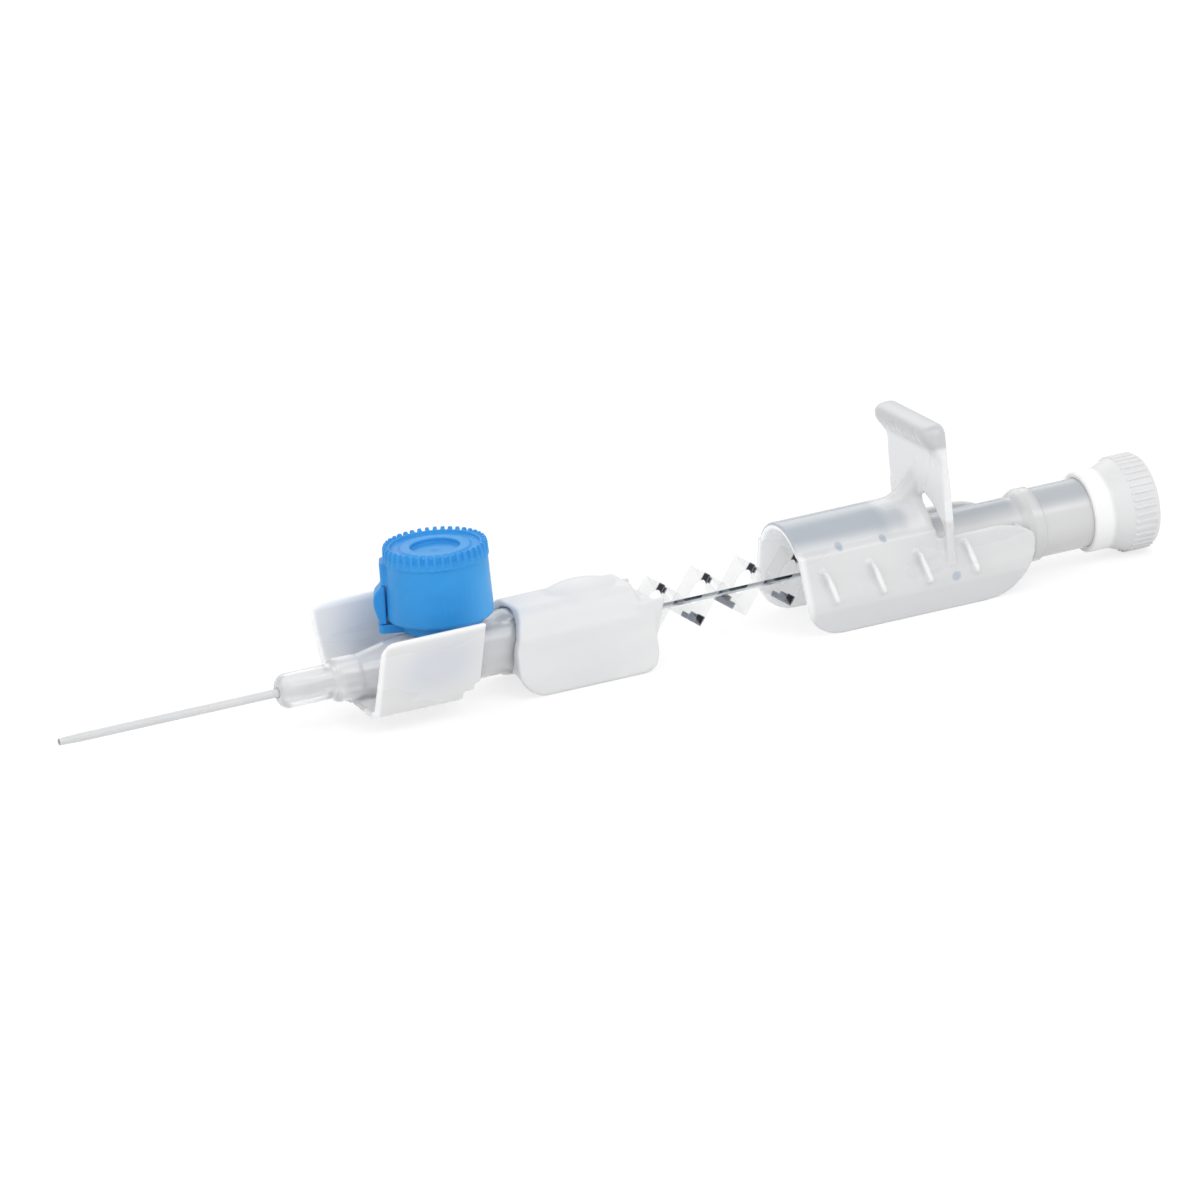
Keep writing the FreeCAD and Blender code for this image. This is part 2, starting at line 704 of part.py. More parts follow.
def make_port_cap():
    """Makes the blue cap with a toothed rim, a dished top and the spigot that closes the port."""
    body = new_piece("port_cap")
    turn_about_port(body)
    skin = outline(new_sketch(body, "XZ_Plane", "cap_profile"), [
        ("0", CAP_BASE),
        ("cap_foot_radius", CAP_BASE, "round", "cap_foot_round"),
        ("cap_top_radius + tooth_depth", f"{CAP_TOP} - tooth_height"),
        ("cap_top_radius - tooth_depth", f"{CAP_TOP} - tooth_height"),
        ("cap_top_radius - tooth_depth", f"{CAP_TOP} - tooth_depth / 2"),
        ("cap_top_radius - 3 * tooth_depth / 2", CAP_TOP),
        ("cap_top_radius - rim_width", CAP_TOP),
        ("cap_top_radius - rim_width", f"{CAP_TOP} - rim_step"),
        ("dish_radius", f"{CAP_TOP} - rim_step"),
        ("dish_radius", f"{CAP_TOP} - rim_step + dish_lip"),
        ("dish_centre", f"{CAP_TOP} - rim_step + dish_lip"),
        ("dish_centre", f"{CAP_TOP} - 2 * rim_step"),
        ("dimple_radius", f"{CAP_TOP} - 2 * rim_step"),
        ("0", f"{CAP_TOP} - 2 * rim_step - dish_lip"),
    ])
    turn(body, "cap_skin", skin, axis="V_Axis")
    boss = outline(new_sketch(body, "XY_Plane", "boss_outline", off="boss_base + seat_gap"), [
        ("cap_top_radius - cap_wall / 2", "0 - strap_width / 2"),
        ("boss_reach", "0 - strap_width / 2", "round", "strap_width / 5"),
        ("boss_reach", "strap_width / 2", "round", "strap_width / 5"),
        ("cap_top_radius - cap_wall / 2", "strap_width / 2"),
    ])
    pad(body, "strap_boss", boss, "boss_height")
    hollow = outline(new_sketch(body, "XZ_Plane", "cap_hollow_profile"), [
        ("port_bore - ring_gap", CAP_BASE),
        ("cap_foot_radius - cap_wall", CAP_BASE),
        ("cap_top_radius - cap_wall", f"{CAP_TOP} - cap_roof - rim_step"),
        ("port_bore - ring_gap", f"{CAP_TOP} - cap_roof - rim_step"),
    ])
    groove(body, "cap_hollow", hollow, axis="V_Axis")
    under = outline(new_sketch(body, "XZ_Plane", "spigot_end_profile"), [
        ("0", CAP_BASE),
        ("port_bore", CAP_BASE),
        ("port_bore", "port_top - spigot_reach"),
        ("0", "port_top - spigot_reach"),
    ])
    groove(body, "spigot_end", under, axis="V_Axis")
    tooth = outline(new_sketch(body, "XY_Plane", "tooth_outline", off=f"{CAP_TOP} - tooth_height"), [
        ("cap_top_radius - 2 * tooth_depth", "0 - tooth_foot_width / 2"),
        ("cap_top_radius + tooth_depth / 4", "0 - tooth_tip_width / 2"),
        ("cap_top_radius + tooth_depth / 4", "tooth_tip_width / 2"),
        ("cap_top_radius - 2 * tooth_depth", "tooth_foot_width / 2"),
    ])
    teeth = pad(body, "tooth", tooth, "tooth_height - tooth_depth / 3")
    polar(body, "teeth", [teeth], (origin_axis(body, "Z_Axis"), [""]), "tooth_count")


def make_guard_housing():
    """Makes the white tip guard with its side skirts, domed top, open front and clip chamber."""
    body = new_piece("guard_housing")
    inner = "(guard_skirt - guard_wall)"
    section = outline(new_sketch(body, "YZ_Plane", "guard_section", off=GUARD_START), [
        ("0 - guard_shoulder", "guard_top", "round", "guard_wall * 3"),
        ("guard_shoulder", "guard_top", "round", "guard_wall * 3"),
        ("guard_waist", "guard_top - guard_shoulder"),
        ("guard_skirt", "0 - guard_block"),
        ("guard_skirt", FLOOR, "round", "guard_wall / 3"),
        (inner, FLOOR),
        (inner, "0 - guard_block", "round", "guard_wall"),
        (f"0 - {inner}", "0 - guard_block", "round", "guard_wall"),
        (f"0 - {inner}", FLOOR),
        ("0 - guard_skirt", FLOOR, "round", "guard_wall / 3"),
        ("0 - guard_skirt", "0 - guard_block"),
        ("0 - guard_waist", "guard_top - guard_shoulder"),
    ])
    pad(body, "guard_block", section, "guard_length")
    dome = body.newObject("PartDesign::AdditiveEllipsoid", "guard_dome")
    bind(dome, "Placement.Base.x", f"{GUARD_START} + dome_setback")
    bind(dome, "Placement.Base.z", "guard_top - dome_sink")
    bind(dome, "Radius1", "dome_sink + dome_rise")
    bind(dome, "Radius2", "dome_length / 2")
    bind(dome, "Radius3", "dome_width / 2")
    doc.recompute()

    side = new_sketch(body, "XZ_Plane", "guard_side_cuts")
    outline(side, [
        (GUARD_START, "0 - floor_depth + guard_front_round", "right", "guard_front_round"),
        (f"{GUARD_START} + guard_front_round", FLOOR),
        (f"{GUARD_START} + guard_front_round", f"{FLOOR} - guard_wall"),
        (f"{GUARD_START} - guard_wall", f"{FLOOR} - guard_wall"),
        (f"{GUARD_START} - guard_wall", "0 - floor_depth + guard_front_round"),
    ])
    outline(side, [
        (f"{GUARD_END} - guard_rear_round", FLOOR, "right", "guard_rear_round"),
        (GUARD_END, "0 - floor_depth + guard_rear_round"),
        (f"{GUARD_END} + guard_wall", "0 - floor_depth + guard_rear_round"),
        (f"{GUARD_END} + guard_wall", f"{FLOOR} - guard_wall"),
        (f"{GUARD_END} - guard_rear_round", f"{FLOOR} - guard_wall"),
    ])
    outline(side, [
        (GUARD_START, "0"),
        (f"{GUARD_START} + guard_lean", "guard_top"),
        (f"{GUARD_START} + guard_lean", "guard_top + guard_wall"),
        (f"{GUARD_START} - guard_wall", "guard_top + guard_wall"),
        (f"{GUARD_START} - guard_wall", "0"),
    ])
    outline(side, [
        (f"{GUARD_END} - guard_step_run", "guard_top + guard_wall"),
        (f"{GUARD_END} - guard_step_run", "guard_top - guard_step_drop"),
        (f"{GUARD_END} + guard_wall", "guard_top - guard_step_drop"),
        (f"{GUARD_END} + guard_wall", "guard_top + guard_wall"),
    ])
    pocket(body, "guard_side_cut", side, "guard_skirt * 3", middle=True)

    mouth = ring(new_sketch(body, "YZ_Plane", "recess_circle", off=GUARD_START), "0", "0",
                 "lug_radius + recess_gap")
    pocket(body, "front_recess", mouth, "recess_depth", back=True)
    nose = outline(new_sketch(body, "XZ_Plane", "nose_profile"), [
        (f"{HUB_END} - nose_reach", "0"),
        (f"{HUB_END} - nose_reach", "socket_radius - socket_taper * nose_reach - needle_gap"),
        (PARTITION, "socket_radius - needle_gap"),
        (PARTITION, "0"),
    ])
    turn(body, "nose", nose)
    room = outline(new_sketch(body, "YZ_Plane", "clip_room", off=CHAMBER_START), [
        ("0 - chamber_width / 2", "0 - chamber_height / 2"),
        ("chamber_width / 2", "0 - chamber_height / 2"),
        ("chamber_width / 2", "chamber_height / 2"),
        ("0 - chamber_width / 2", "chamber_height / 2"),
    ])
    pocket(body, "clip_chamber", room, f"{GUARD_END} - {CHAMBER_START}", back=True)
    hole = ring(new_sketch(body, "YZ_Plane", "guide_circle", off=f"{HUB_END} - nose_reach"),
                "0", "0", TUBE_BORE)
    pocket(body, "needle_guide", hole, "guard_length", back=True)


def make_guard_cover():
    """Makes the plate that closes the clip chamber and guides the needle."""
    body = new_piece("guard_cover")
    plate = outline(new_sketch(body, "YZ_Plane", "cover_plate", off=COVER_START), [
        ("seat_gap - chamber_width / 2", "seat_gap - chamber_height / 2"),
        ("chamber_width / 2 - seat_gap", "seat_gap - chamber_height / 2"),
        ("chamber_width / 2 - seat_gap", "chamber_height / 2 - seat_gap"),
        ("seat_gap - chamber_width / 2", "chamber_height / 2 - seat_gap"),
    ])
    ring(plate, "0", "0", TUBE_BORE)
    pad(body, "cover", plate, "cover_thickness")


def make_guard_clip():
    """Makes the bent steel clip whose arms ride on the needle and close over its tip."""
    body = new_piece("guard_clip")
    back = f"({COVER_START} - clip_rear_gap)"
    front = f"({CHAMBER_START} + clip_front_gap)"
    near = "(needle_radius + clip_pinch)"
    upper = [
        (back, "clip_height / 2"),
        (f"{front} + clip_pinch_run", f"{near} + clip_thickness"),
        (front, "clip_flare + clip_thickness"),
        (front, "clip_flare"),
        (f"{front} + clip_pinch_run", near),
        (f"{back} - clip_thickness", "clip_height / 2 - clip_thickness"),
    ]
    lower = [(across, f"0 - ({up})") for across, up in reversed(upper)]
    strip = outline(new_sketch(body, "XZ_Plane", "clip_path"), upper + lower)
    pad(body, "clip_strip", strip, "clip_width", middle=True)
    hole = ring(new_sketch(body, "YZ_Plane", "clip_hole", off=f"{back} - 2 * clip_thickness"),
                "0", "0", "needle_radius + clip_pinch")
    pocket(body, "clip_eye", hole, "clip_thickness * 3", back=True)


def make_tether_strip():
    """Makes the pleated film from the guard to the grip, holed for the needle."""
    body = doc.addObject("PartDesign::Body", "pleated_film")
    tab = outline(new_sketch(body, "XZ_Plane", "tab_path"), [
        (GUARD_END, "0 - film_bottom - film_fall"),
        (GUARD_END, "film_bottom"),
        (FILM_START, "film_bottom"),
        (FILM_START, "0 - film_bottom - film_fall"),
    ])
    pad(body, "tab", tab, "film_width", middle=True)
    pleat = outline(new_sketch(body, "XZ_Plane", "pleat_path"), [
        (FILM_START, "0 - film_bottom"),
        (f"{FILM_START} + pleat_rise_run", "film_top"),
        (f"{FILM_START} + pleat_pitch", "0 - film_bottom"),
        (f"{FILM_START} + pleat_pitch", "0 - film_bottom - film_fall"),
        (f"{FILM_START} + pleat_rise_run", "film_top - film_fall"),
        (FILM_START, "0 - film_bottom - film_fall"),
    ])
    fold = pad(body, "pleat", pleat, "film_width", middle=True)
    row(body, "pleats", [fold], "pleat_pitch", "pleat_count")
    eye = doc.addObject("Part::Ellipse", "film_eye")
    bind(eye, "MajorRadius", "film_hole_half_width")
    bind(eye, "MinorRadius", "film_hole_half_height")
    eye.Placement = FreeCAD.Placement(FreeCAD.Vector(0, 0, 0),
                                      FreeCAD.Rotation(FreeCAD.Vector(0, 1, 0), FreeCAD.Vector(0, 0, 1),
                                                       FreeCAD.Vector(1, 0, 0), "XYZ"))
    bind(eye, "Placement.Base.x", f"{GUARD_END} - film_tab")
    bind(eye, "Placement.Base.z", "film_hole_rise")
    punch = doc.addObject("Part::Extrusion", "film_punch")
    punch.Base = eye
    punch.DirMode = "Custom"
    punch.Dir = FreeCAD.Vector(1, 0, 0)
    bind(punch, "LengthFwd", "pleat_pitch * (pleat_count + 1)")
    punch.Solid = True
    strip = doc.addObject("Part::Cut", "tether_strip")
    strip.Base = body
    strip.Tool = punch
    strip.Label = "tether_strip"
    place(strip)
    pieces.append(strip)
    doc.recompute()


def make_needle():
    """Makes the hollow steel needle with its ground bevel."""
    body = new_piece("needle")
    wall = new_sketch(body, "YZ_Plane", "needle_rings", off="needle_tip")
    ring(wall, "0", "0", "needle_radius")
    ring(wall, "0", "0", "needle_radius - needle_wall")
    pad(body, "needle_tube", wall, f"{NEEDLE_END} - needle_tip")
    grind = outline(new_sketch(body, "XZ_Plane", "bevel_cut"), [
        ("needle_tip - bevel_run", "0 - needle_radius"),
        ("needle_tip", "0 - needle_radius"),
        ("needle_tip + bevel_run", "needle_radius"),
        ("needle_tip + bevel_run", "2 * needle_radius"),
        ("needle_tip - bevel_run", "2 * needle_radius"),
    ])
    pocket(body, "bevel", grind, "needle_radius * 4", middle=True)


def mirrored(corners):
    """Gives the corners of the other half of an outline, in the order that carries on round it."""
    return [(f"0 - ({corner[0]})",) + tuple(corner[1:]) for corner in reversed(corners)]


def shell_section(sketch):
    """Draws the arch of the grip with its step and its bulged side walls."""
    side = [
        ("shoulder_half_width", "shoulder_height"),
        ("bulge_half_width", "0 - bulge_height", "round", "shell_wall * 4"),
        ("skirt_half_width", FLOOR),
        ("skirt_half_width - shell_wall", FLOOR),
        ("bulge_half_width - shell_wall", "0 - bulge_height", "round", "shell_wall * 3"),
        ("shoulder_half_width - shell_wall", "shoulder_height - shell_wall / 2"),
    ]
    inner_foot = ("arch_half_width - shell_wall", "arch_foot - shell_wall / 2")
    outer_foot = ("arch_half_width", "arch_foot")
    inner_arc = inner_foot + ("right", "arch_radius - shell_wall")
    outer_arc = mirrored([outer_foot])[0] + ("left", "arch_radius")
    return outline(sketch, [outer_foot] + side + [inner_arc] + mirrored([inner_foot])
                   + mirrored(side) + [outer_arc])


def make_grip_shell():
    """Makes the clear grip with its arch, side walls, bulkhead, saddle, finger ribs and thumb fin."""
    body = new_piece("grip_shell")
    section = shell_section(new_sketch(body, "YZ_Plane", "shell_section", off=SHELL_START))
    pad(body, "arch", section, "arch_length")

    rear = new_sketch(body, "YZ_Plane", "rear_wall_section", off=ARCH_END)
    outline(rear, [
        ("0 - skirt_half_width", FLOOR),
        ("0 - bulge_half_width", "0 - bulge_height", "round", "shell_wall * 4"),
        ("0 - shoulder_half_width - shell_wall", "side_rear_top"),
        ("0 - shoulder_half_width", "side_rear_top"),
        ("shell_wall - bulge_half_width", "0 - bulge_height", "round", "shell_wall * 3"),
        ("shell_wall - skirt_half_width", FLOOR),
    ])
    walls = pad(body, "rear_wall", rear, "side_length - arch_length")
    mirror(body, "other_rear_wall", [walls])

    head = outline(new_sketch(body, "YZ_Plane", "bulkhead_outline", off=BULKHEAD_START), [
        ("0 - arch_half_width", "arch_foot", "left", "arch_radius - shell_wall / 2"),
        ("arch_half_width", "arch_foot"),
        ("bulge_half_width - shell_wall", "0 - bulge_height"),
        ("skirt_half_width - shell_wall", "shell_wall - floor_depth"),
        ("shell_wall - skirt_half_width", "shell_wall - floor_depth"),
        ("shell_wall - bulge_half_width", "0 - bulge_height"),
    ])
    pad(body, "bulkhead", head, "bulkhead_thickness")
    saddle = outline(new_sketch(body, "YZ_Plane", "saddle_outline", off=SADDLE_START), [
        ("0 - shoulder_half_width", "side_rear_top"),
        ("shoulder_half_width", "side_rear_top"),
        ("bulge_half_width - shell_wall", "0 - bulge_height"),
        ("skirt_half_width - shell_wall", "0 - small_tube_radius - shell_wall"),
        ("shell_wall - skirt_half_width", "0 - small_tube_radius - shell_wall"),
        ("shell_wall - bulge_half_width", "0 - bulge_height"),
    ])
    pad(body, "saddle", saddle, "saddle_thickness")

    fin = new_sketch(body, "YZ_Plane", "fin_outline", off=FIN_START)
    outline(fin, [
        ("0 - bulge_half_width", "0 - bulge_height"),
        ("0 - skirt_half_width + shell_wall", "0 - bulge_height"),
        ("0 - fin_arch_half_width", "arch_foot", "left", "fin_arch_radius"),
        ("fin_arch_half_width", "arch_foot"),
        ("skirt_half_width - shell_wall", "0 - bulge_height"),
        ("bulge_half_width", "0 - bulge_height"),
        ("fin_half_width", "arch_top"),
        ("fin_half_width", "fin_height", "round", "fin_corner"),
        ("0 - fin_half_width", "fin_height", "round", "fin_corner"),
        ("0 - fin_half_width", "arch_top"),
    ])
    pad(body, "fin", fin, "fin_thickness")
    lip = outline(new_sketch(body, "XZ_Plane", "lip_profile"), [
        (f"{FIN_START} + fin_thickness / 2", "fin_height - 2 * fin_lip_height"),
        (FIN_START, "fin_height - 2 * fin_lip_height"),
        (f"{FIN_START} - fin_lip", "fin_height - fin_lip_height / 2"),
        (f"{FIN_START} - fin_lip + fin_thickness / 2", "fin_height", "round", "fin_thickness / 4"),
        (f"{FIN_START} + fin_thickness / 2", "fin_height - fin_thickness"),
    ])
    pad(body, "fin_lip", lip, "2 * fin_half_width - 2 * fin_corner", middle=True)
    gusset = outline(new_sketch(body, "XZ_Plane", "gusset_profile"), [
        (f"{FIN_START} - gusset_run", "arch_top - shell_wall / 2", "right", "gusset_radius"),
        (f"{FIN_START} + fin_thickness / 2", "gusset_top"),
        (f"{FIN_START} + fin_thickness / 2", "fin_arch_top"),
        (ARCH_END, "arch_top - shell_wall / 2"),
    ])
    pad(body, "gusset", gusset, "gusset_thickness", middle=True)

    rib_top = f"{SHELL_START} + rib_setback - rib_slant / 2"
    rib_foot = f"{SHELL_START} + rib_setback + rib_slant / 2"
    bars = []
    for name, off, back in (("near_rib", "bulge_half_width - shell_wall", False),
                            ("far_rib", "shell_wall - bulge_half_width", True)):
        rib = outline(new_sketch(body, "XZ_Plane", f"{name}_outline", off=off), [
            (f"{rib_top} - rib_width / 2", "rib_height / 2"),
            (f"{rib_foot} - rib_width / 2", "0 - rib_height / 2"),
            (f"{rib_foot} + rib_width / 4", "0 - rib_height / 2", "round", "rib_width / 4"),
            (f"{SHELL_START} + rib_setback + rib_width / 4", "0"),
            (rib_top, "rib_height / 2"),
        ])
        bars.append(pad(body, name, rib, "shell_wall + rib_rise", back=back))
    row(body, "ribs", bars, "rib_pitch", "rib_count")

    corners = new_sketch(body, "XZ_Plane", "side_corners")
    outline(corners, [
        (SHELL_START, "0 - floor_depth + front_corner", "right", "front_corner"),
        (f"{SHELL_START} + front_corner", FLOOR),
        (f"{SHELL_START} + front_corner", f"{FLOOR} - shell_wall"),
        (f"{SHELL_START} - shell_wall", f"{FLOOR} - shell_wall"),
        (f"{SHELL_START} - shell_wall", "0 - floor_depth + front_corner"),
    ])
    outline(corners, [
        (f"{SIDE_END} - rear_corner", FLOOR, "right", "rear_corner"),
        (SIDE_END, "0 - floor_depth + rear_corner"),
        (f"{SIDE_END} + shell_wall", "0 - floor_depth + rear_corner"),
        (f"{SIDE_END} + shell_wall", f"{FLOOR} - shell_wall"),
        (f"{SIDE_END} - rear_corner", f"{FLOOR} - shell_wall"),
    ])
    outline(corners, [
        (f"{SIDE_END} - rear_slope_run", "side_rear_top", "left", "rear_slope_radius"),
        (SIDE_END, "side_rear_top - rear_slope_fall"),
        (f"{SIDE_END} + shell_wall", "side_rear_top - rear_slope_fall"),
        (f"{SIDE_END} + shell_wall", "side_rear_top + shell_wall"),
        (f"{SIDE_END} - rear_slope_run", "side_rear_top + shell_wall"),
    ])
    pocket(body, "side_corner_cut", corners, "bulge_half_width * 3", middle=True)
    front_hole = ring(new_sketch(body, "YZ_Plane", "neck_circle", off=BULKHEAD_START), "0", "0",
                      "neck_radius + seat_gap")
    pocket(body, "neck_hole", front_hole, "bulkhead_thickness", back=True)
    rear_hole = ring(new_sketch(body, "YZ_Plane", "tube_circle", off=SADDLE_START), "0", "0",
                     "small_tube_radius + seat_gap")
    pocket(body, "tube_hole", rear_hole, "saddle_thickness", back=True)


def make_flash_chamber():
    """Makes the clear chamber that holds the needle and shows the blood's flash."""
    body = new_piece("flash_chamber")
    profile = outline(new_sketch(body, "XZ_Plane", "flash_profile"), [
        (HOLDER_START, "needle_radius + seat_gap"),
        (HOLDER_START, "holder_radius"),
        (BULKHEAD_START, "neck_radius"),
        (TUBE_SHOULDER, "neck_radius"),
        (TUBE_SHOULDER, "small_tube_radius - chamber_wall / 2"),
        (f"{TUBE_SHOULDER} + chamber_wall / 2", "small_tube_radius"),
        (FLANGE_START, "small_tube_radius"),
        (f"{FLANGE_START} + flange_length / 4", "flange_radius - chamber_wall / 3"),
        (f"{FLANGE_START} + flange_length / 2", "flange_radius"),
        (f"{FLANGE_START} + flange_length", "flange_radius"),
        (f"{FLANGE_START} + flange_length + flange_radius - chamber_radius", "chamber_radius"),
        (CHAMBER_REAR, "chamber_radius"),
        (CHAMBER_REAR, "chamber_radius - chamber_wall"),
        (f"{FLANGE_START} + flange_length", "chamber_radius - chamber_wall"),
        (FLANGE_START, "small_tube_radius - chamber_wall"),
        (f"{NEEDLE_END} + seat_gap", "small_tube_radius - chamber_wall"),
        (f"{NEEDLE_END} + seat_gap", "needle_radius + seat_gap"),
    ])
    turn(body, "flash_wall", profile)


def make_vent_filter():
    """Makes the porous disc that lets air out of the chamber."""
    body = new_piece("vent_filter")
    disc = ring(new_sketch(body, "YZ_Plane", "filter_circle",
                           off=f"{HEAD_START} - plug_nose_reach + seat_gap"),
                "0", "0", "filter_radius - seat_gap")
    pad(body, "filter_disc", disc, "filter_thickness")


def make_end_plug():
    """Makes the white vented plug with its sleeve, nose and knurled head."""
    body = new_piece("end_plug")
    bore = "(chamber_radius + plug_gap)"
    nose = "(chamber_radius - chamber_wall - plug_gap)"
    profile = outline(new_sketch(body, "XZ_Plane", "plug_profile"), [
        (SLEEVE_START, bore),
        (SLEEVE_START, "plug_sleeve_radius - chamber_wall / 4"),
        (f"{SLEEVE_START} + chamber_wall / 4", "plug_sleeve_radius"),
        (f"{HEAD_START} - plug_neck_run", "plug_sleeve_radius"),
        (f"{HEAD_START} - plug_neck_run + plug_flare_run", "plug_head_radius"),
        (f"{PLUG_END} - plug_end_round", "plug_head_radius"),
        (f"{PLUG_END} - plug_end_round / 3", "plug_head_radius - plug_end_round / 3"),
        (PLUG_END, "plug_head_radius - plug_end_round"),
        (PLUG_END, "vent_radius"),
        (f"{PLUG_END} - plug_end_wall", "vent_radius"),
        (f"{HEAD_START} - plug_nose_reach + filter_thickness + 2 * seat_gap", "vent_radius"),
        (f"{HEAD_START} - plug_nose_reach + filter_thickness + 2 * seat_gap", "filter_radius"),
        (f"{HEAD_START} - plug_nose_reach", "filter_radius"),
        (f"{HEAD_START} - plug_nose_reach", f"{nose} - chamber_wall / 4"),
        (HEAD_START, nose),
        (HEAD_START, bore),
    ])
    turn(body, "plug_skin", profile)
    knurl_start = f"({HEAD_START} - plug_neck_run + plug_flare_run)"
    knurl = outline(new_sketch(body, "YZ_Plane", "knurl_outline", off=knurl_start), [
        ("0 - knurl_foot_width / 2", "plug_head_radius - 2 * knurl_depth"),
        ("knurl_foot_width / 2", "plug_head_radius - 2 * knurl_depth"),
        ("knurl_tip_width / 2", "plug_head_radius + knurl_depth"),
        ("0 - knurl_tip_width / 2", "plug_head_radius + knurl_depth"),
    ])
    bar = pad(body, "knurl", knurl, f"{PLUG_END} - plug_end_round - {knurl_start}")
    polar(body, "knurls", [bar], (origin_axis(body, "X_Axis"), [""]), "knurl_count")


MAKERS = (
    make_catheter_tube,
    make_catheter_wedge,
    make_catheter_hub,
    make_port_valve,
    make_cap_collar,
    make_cap_strap,
    make_port_cap,
    make_guard_housing,
    make_guard_cover,
    make_guard_clip,
    make_tether_strip,
    make_needle,
    make_grip_shell,
    make_flash_chamber,
    make_vent_filter,
    make_end_plug,
)

for make in MAKERS:
    make()
doc.recompute()

for thing in doc.Objects:
    if "Invalid" in thing.State or "Error" in thing.State:
        raise RuntimeError(f"{thing.Label} did not build: {thing.State}")
for piece in pieces:
    if piece.Shape.isNull() or not piece.Shape.isValid():
        raise RuntimeError(f"{piece.Label} has no sound shape")
    piece.Shape.exportStep(f"parts/{piece.Label}.step")
    box = piece.Shape.BoundBox
    print(f"{piece.Label}: {len(piece.Shape.Solids)} solid, {piece.Shape.Volume:.2f} mm3, "
          f"x {box.XMin:.2f} {box.XMax:.2f} y {box.YMin:.2f} {box.YMax:.2f} z {box.ZMin:.2f} {box.ZMax:.2f}")
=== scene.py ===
"""Looks of a winged safety intravenous cannula, standing part way through the withdrawal of its needle."""
import logging
import math
from abc import ABC, abstractmethod
from dataclasses import dataclass
from enum import Enum

import bmesh
import bpy
from mathutils import Matrix, Vector


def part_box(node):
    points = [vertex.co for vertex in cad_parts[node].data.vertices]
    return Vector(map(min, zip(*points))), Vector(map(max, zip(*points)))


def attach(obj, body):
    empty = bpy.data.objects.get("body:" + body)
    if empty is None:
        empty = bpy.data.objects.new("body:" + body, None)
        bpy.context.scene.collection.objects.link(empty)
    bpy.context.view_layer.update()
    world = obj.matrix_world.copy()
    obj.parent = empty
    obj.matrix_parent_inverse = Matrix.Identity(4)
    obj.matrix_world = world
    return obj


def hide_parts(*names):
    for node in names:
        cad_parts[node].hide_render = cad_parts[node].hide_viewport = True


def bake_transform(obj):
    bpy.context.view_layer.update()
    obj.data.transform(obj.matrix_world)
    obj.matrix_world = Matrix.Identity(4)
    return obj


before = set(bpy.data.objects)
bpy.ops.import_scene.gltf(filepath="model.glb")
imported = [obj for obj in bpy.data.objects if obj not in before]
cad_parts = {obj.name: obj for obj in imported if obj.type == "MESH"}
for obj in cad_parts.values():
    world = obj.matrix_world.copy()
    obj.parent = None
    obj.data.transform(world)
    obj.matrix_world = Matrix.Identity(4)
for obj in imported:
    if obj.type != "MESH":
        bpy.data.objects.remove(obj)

LOG = logging.getLogger("iv_cannula")
MM = 0.001
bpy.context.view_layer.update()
NEEDLE_HEIGHT = 5.2
WELD = 0.001
TINY = 1e-9

Colour = tuple[float, float, float]
Point = tuple[float, float]
Place = tuple[float, float, float]
NEUTRAL: Colour = (1.0, 1.0, 1.0)
UNLIT: Colour = (0.0, 0.0, 0.0)


class Body(Enum):
    """Bodies of the cannula that the scene's own pieces ride on."""

    GUARD = "guard"
    GRIP = "grip"
    CATHETER = "catheter"
    COLLAR = "collar"
    CAP = "cap"


class Slot(Enum):
    """The record's slots for the scene's own pieces."""

    CLEAR = "clear_polymer"
    BLUE = "blue_polymer"
    WHITE = "white_polymer"
    FILM = "film"


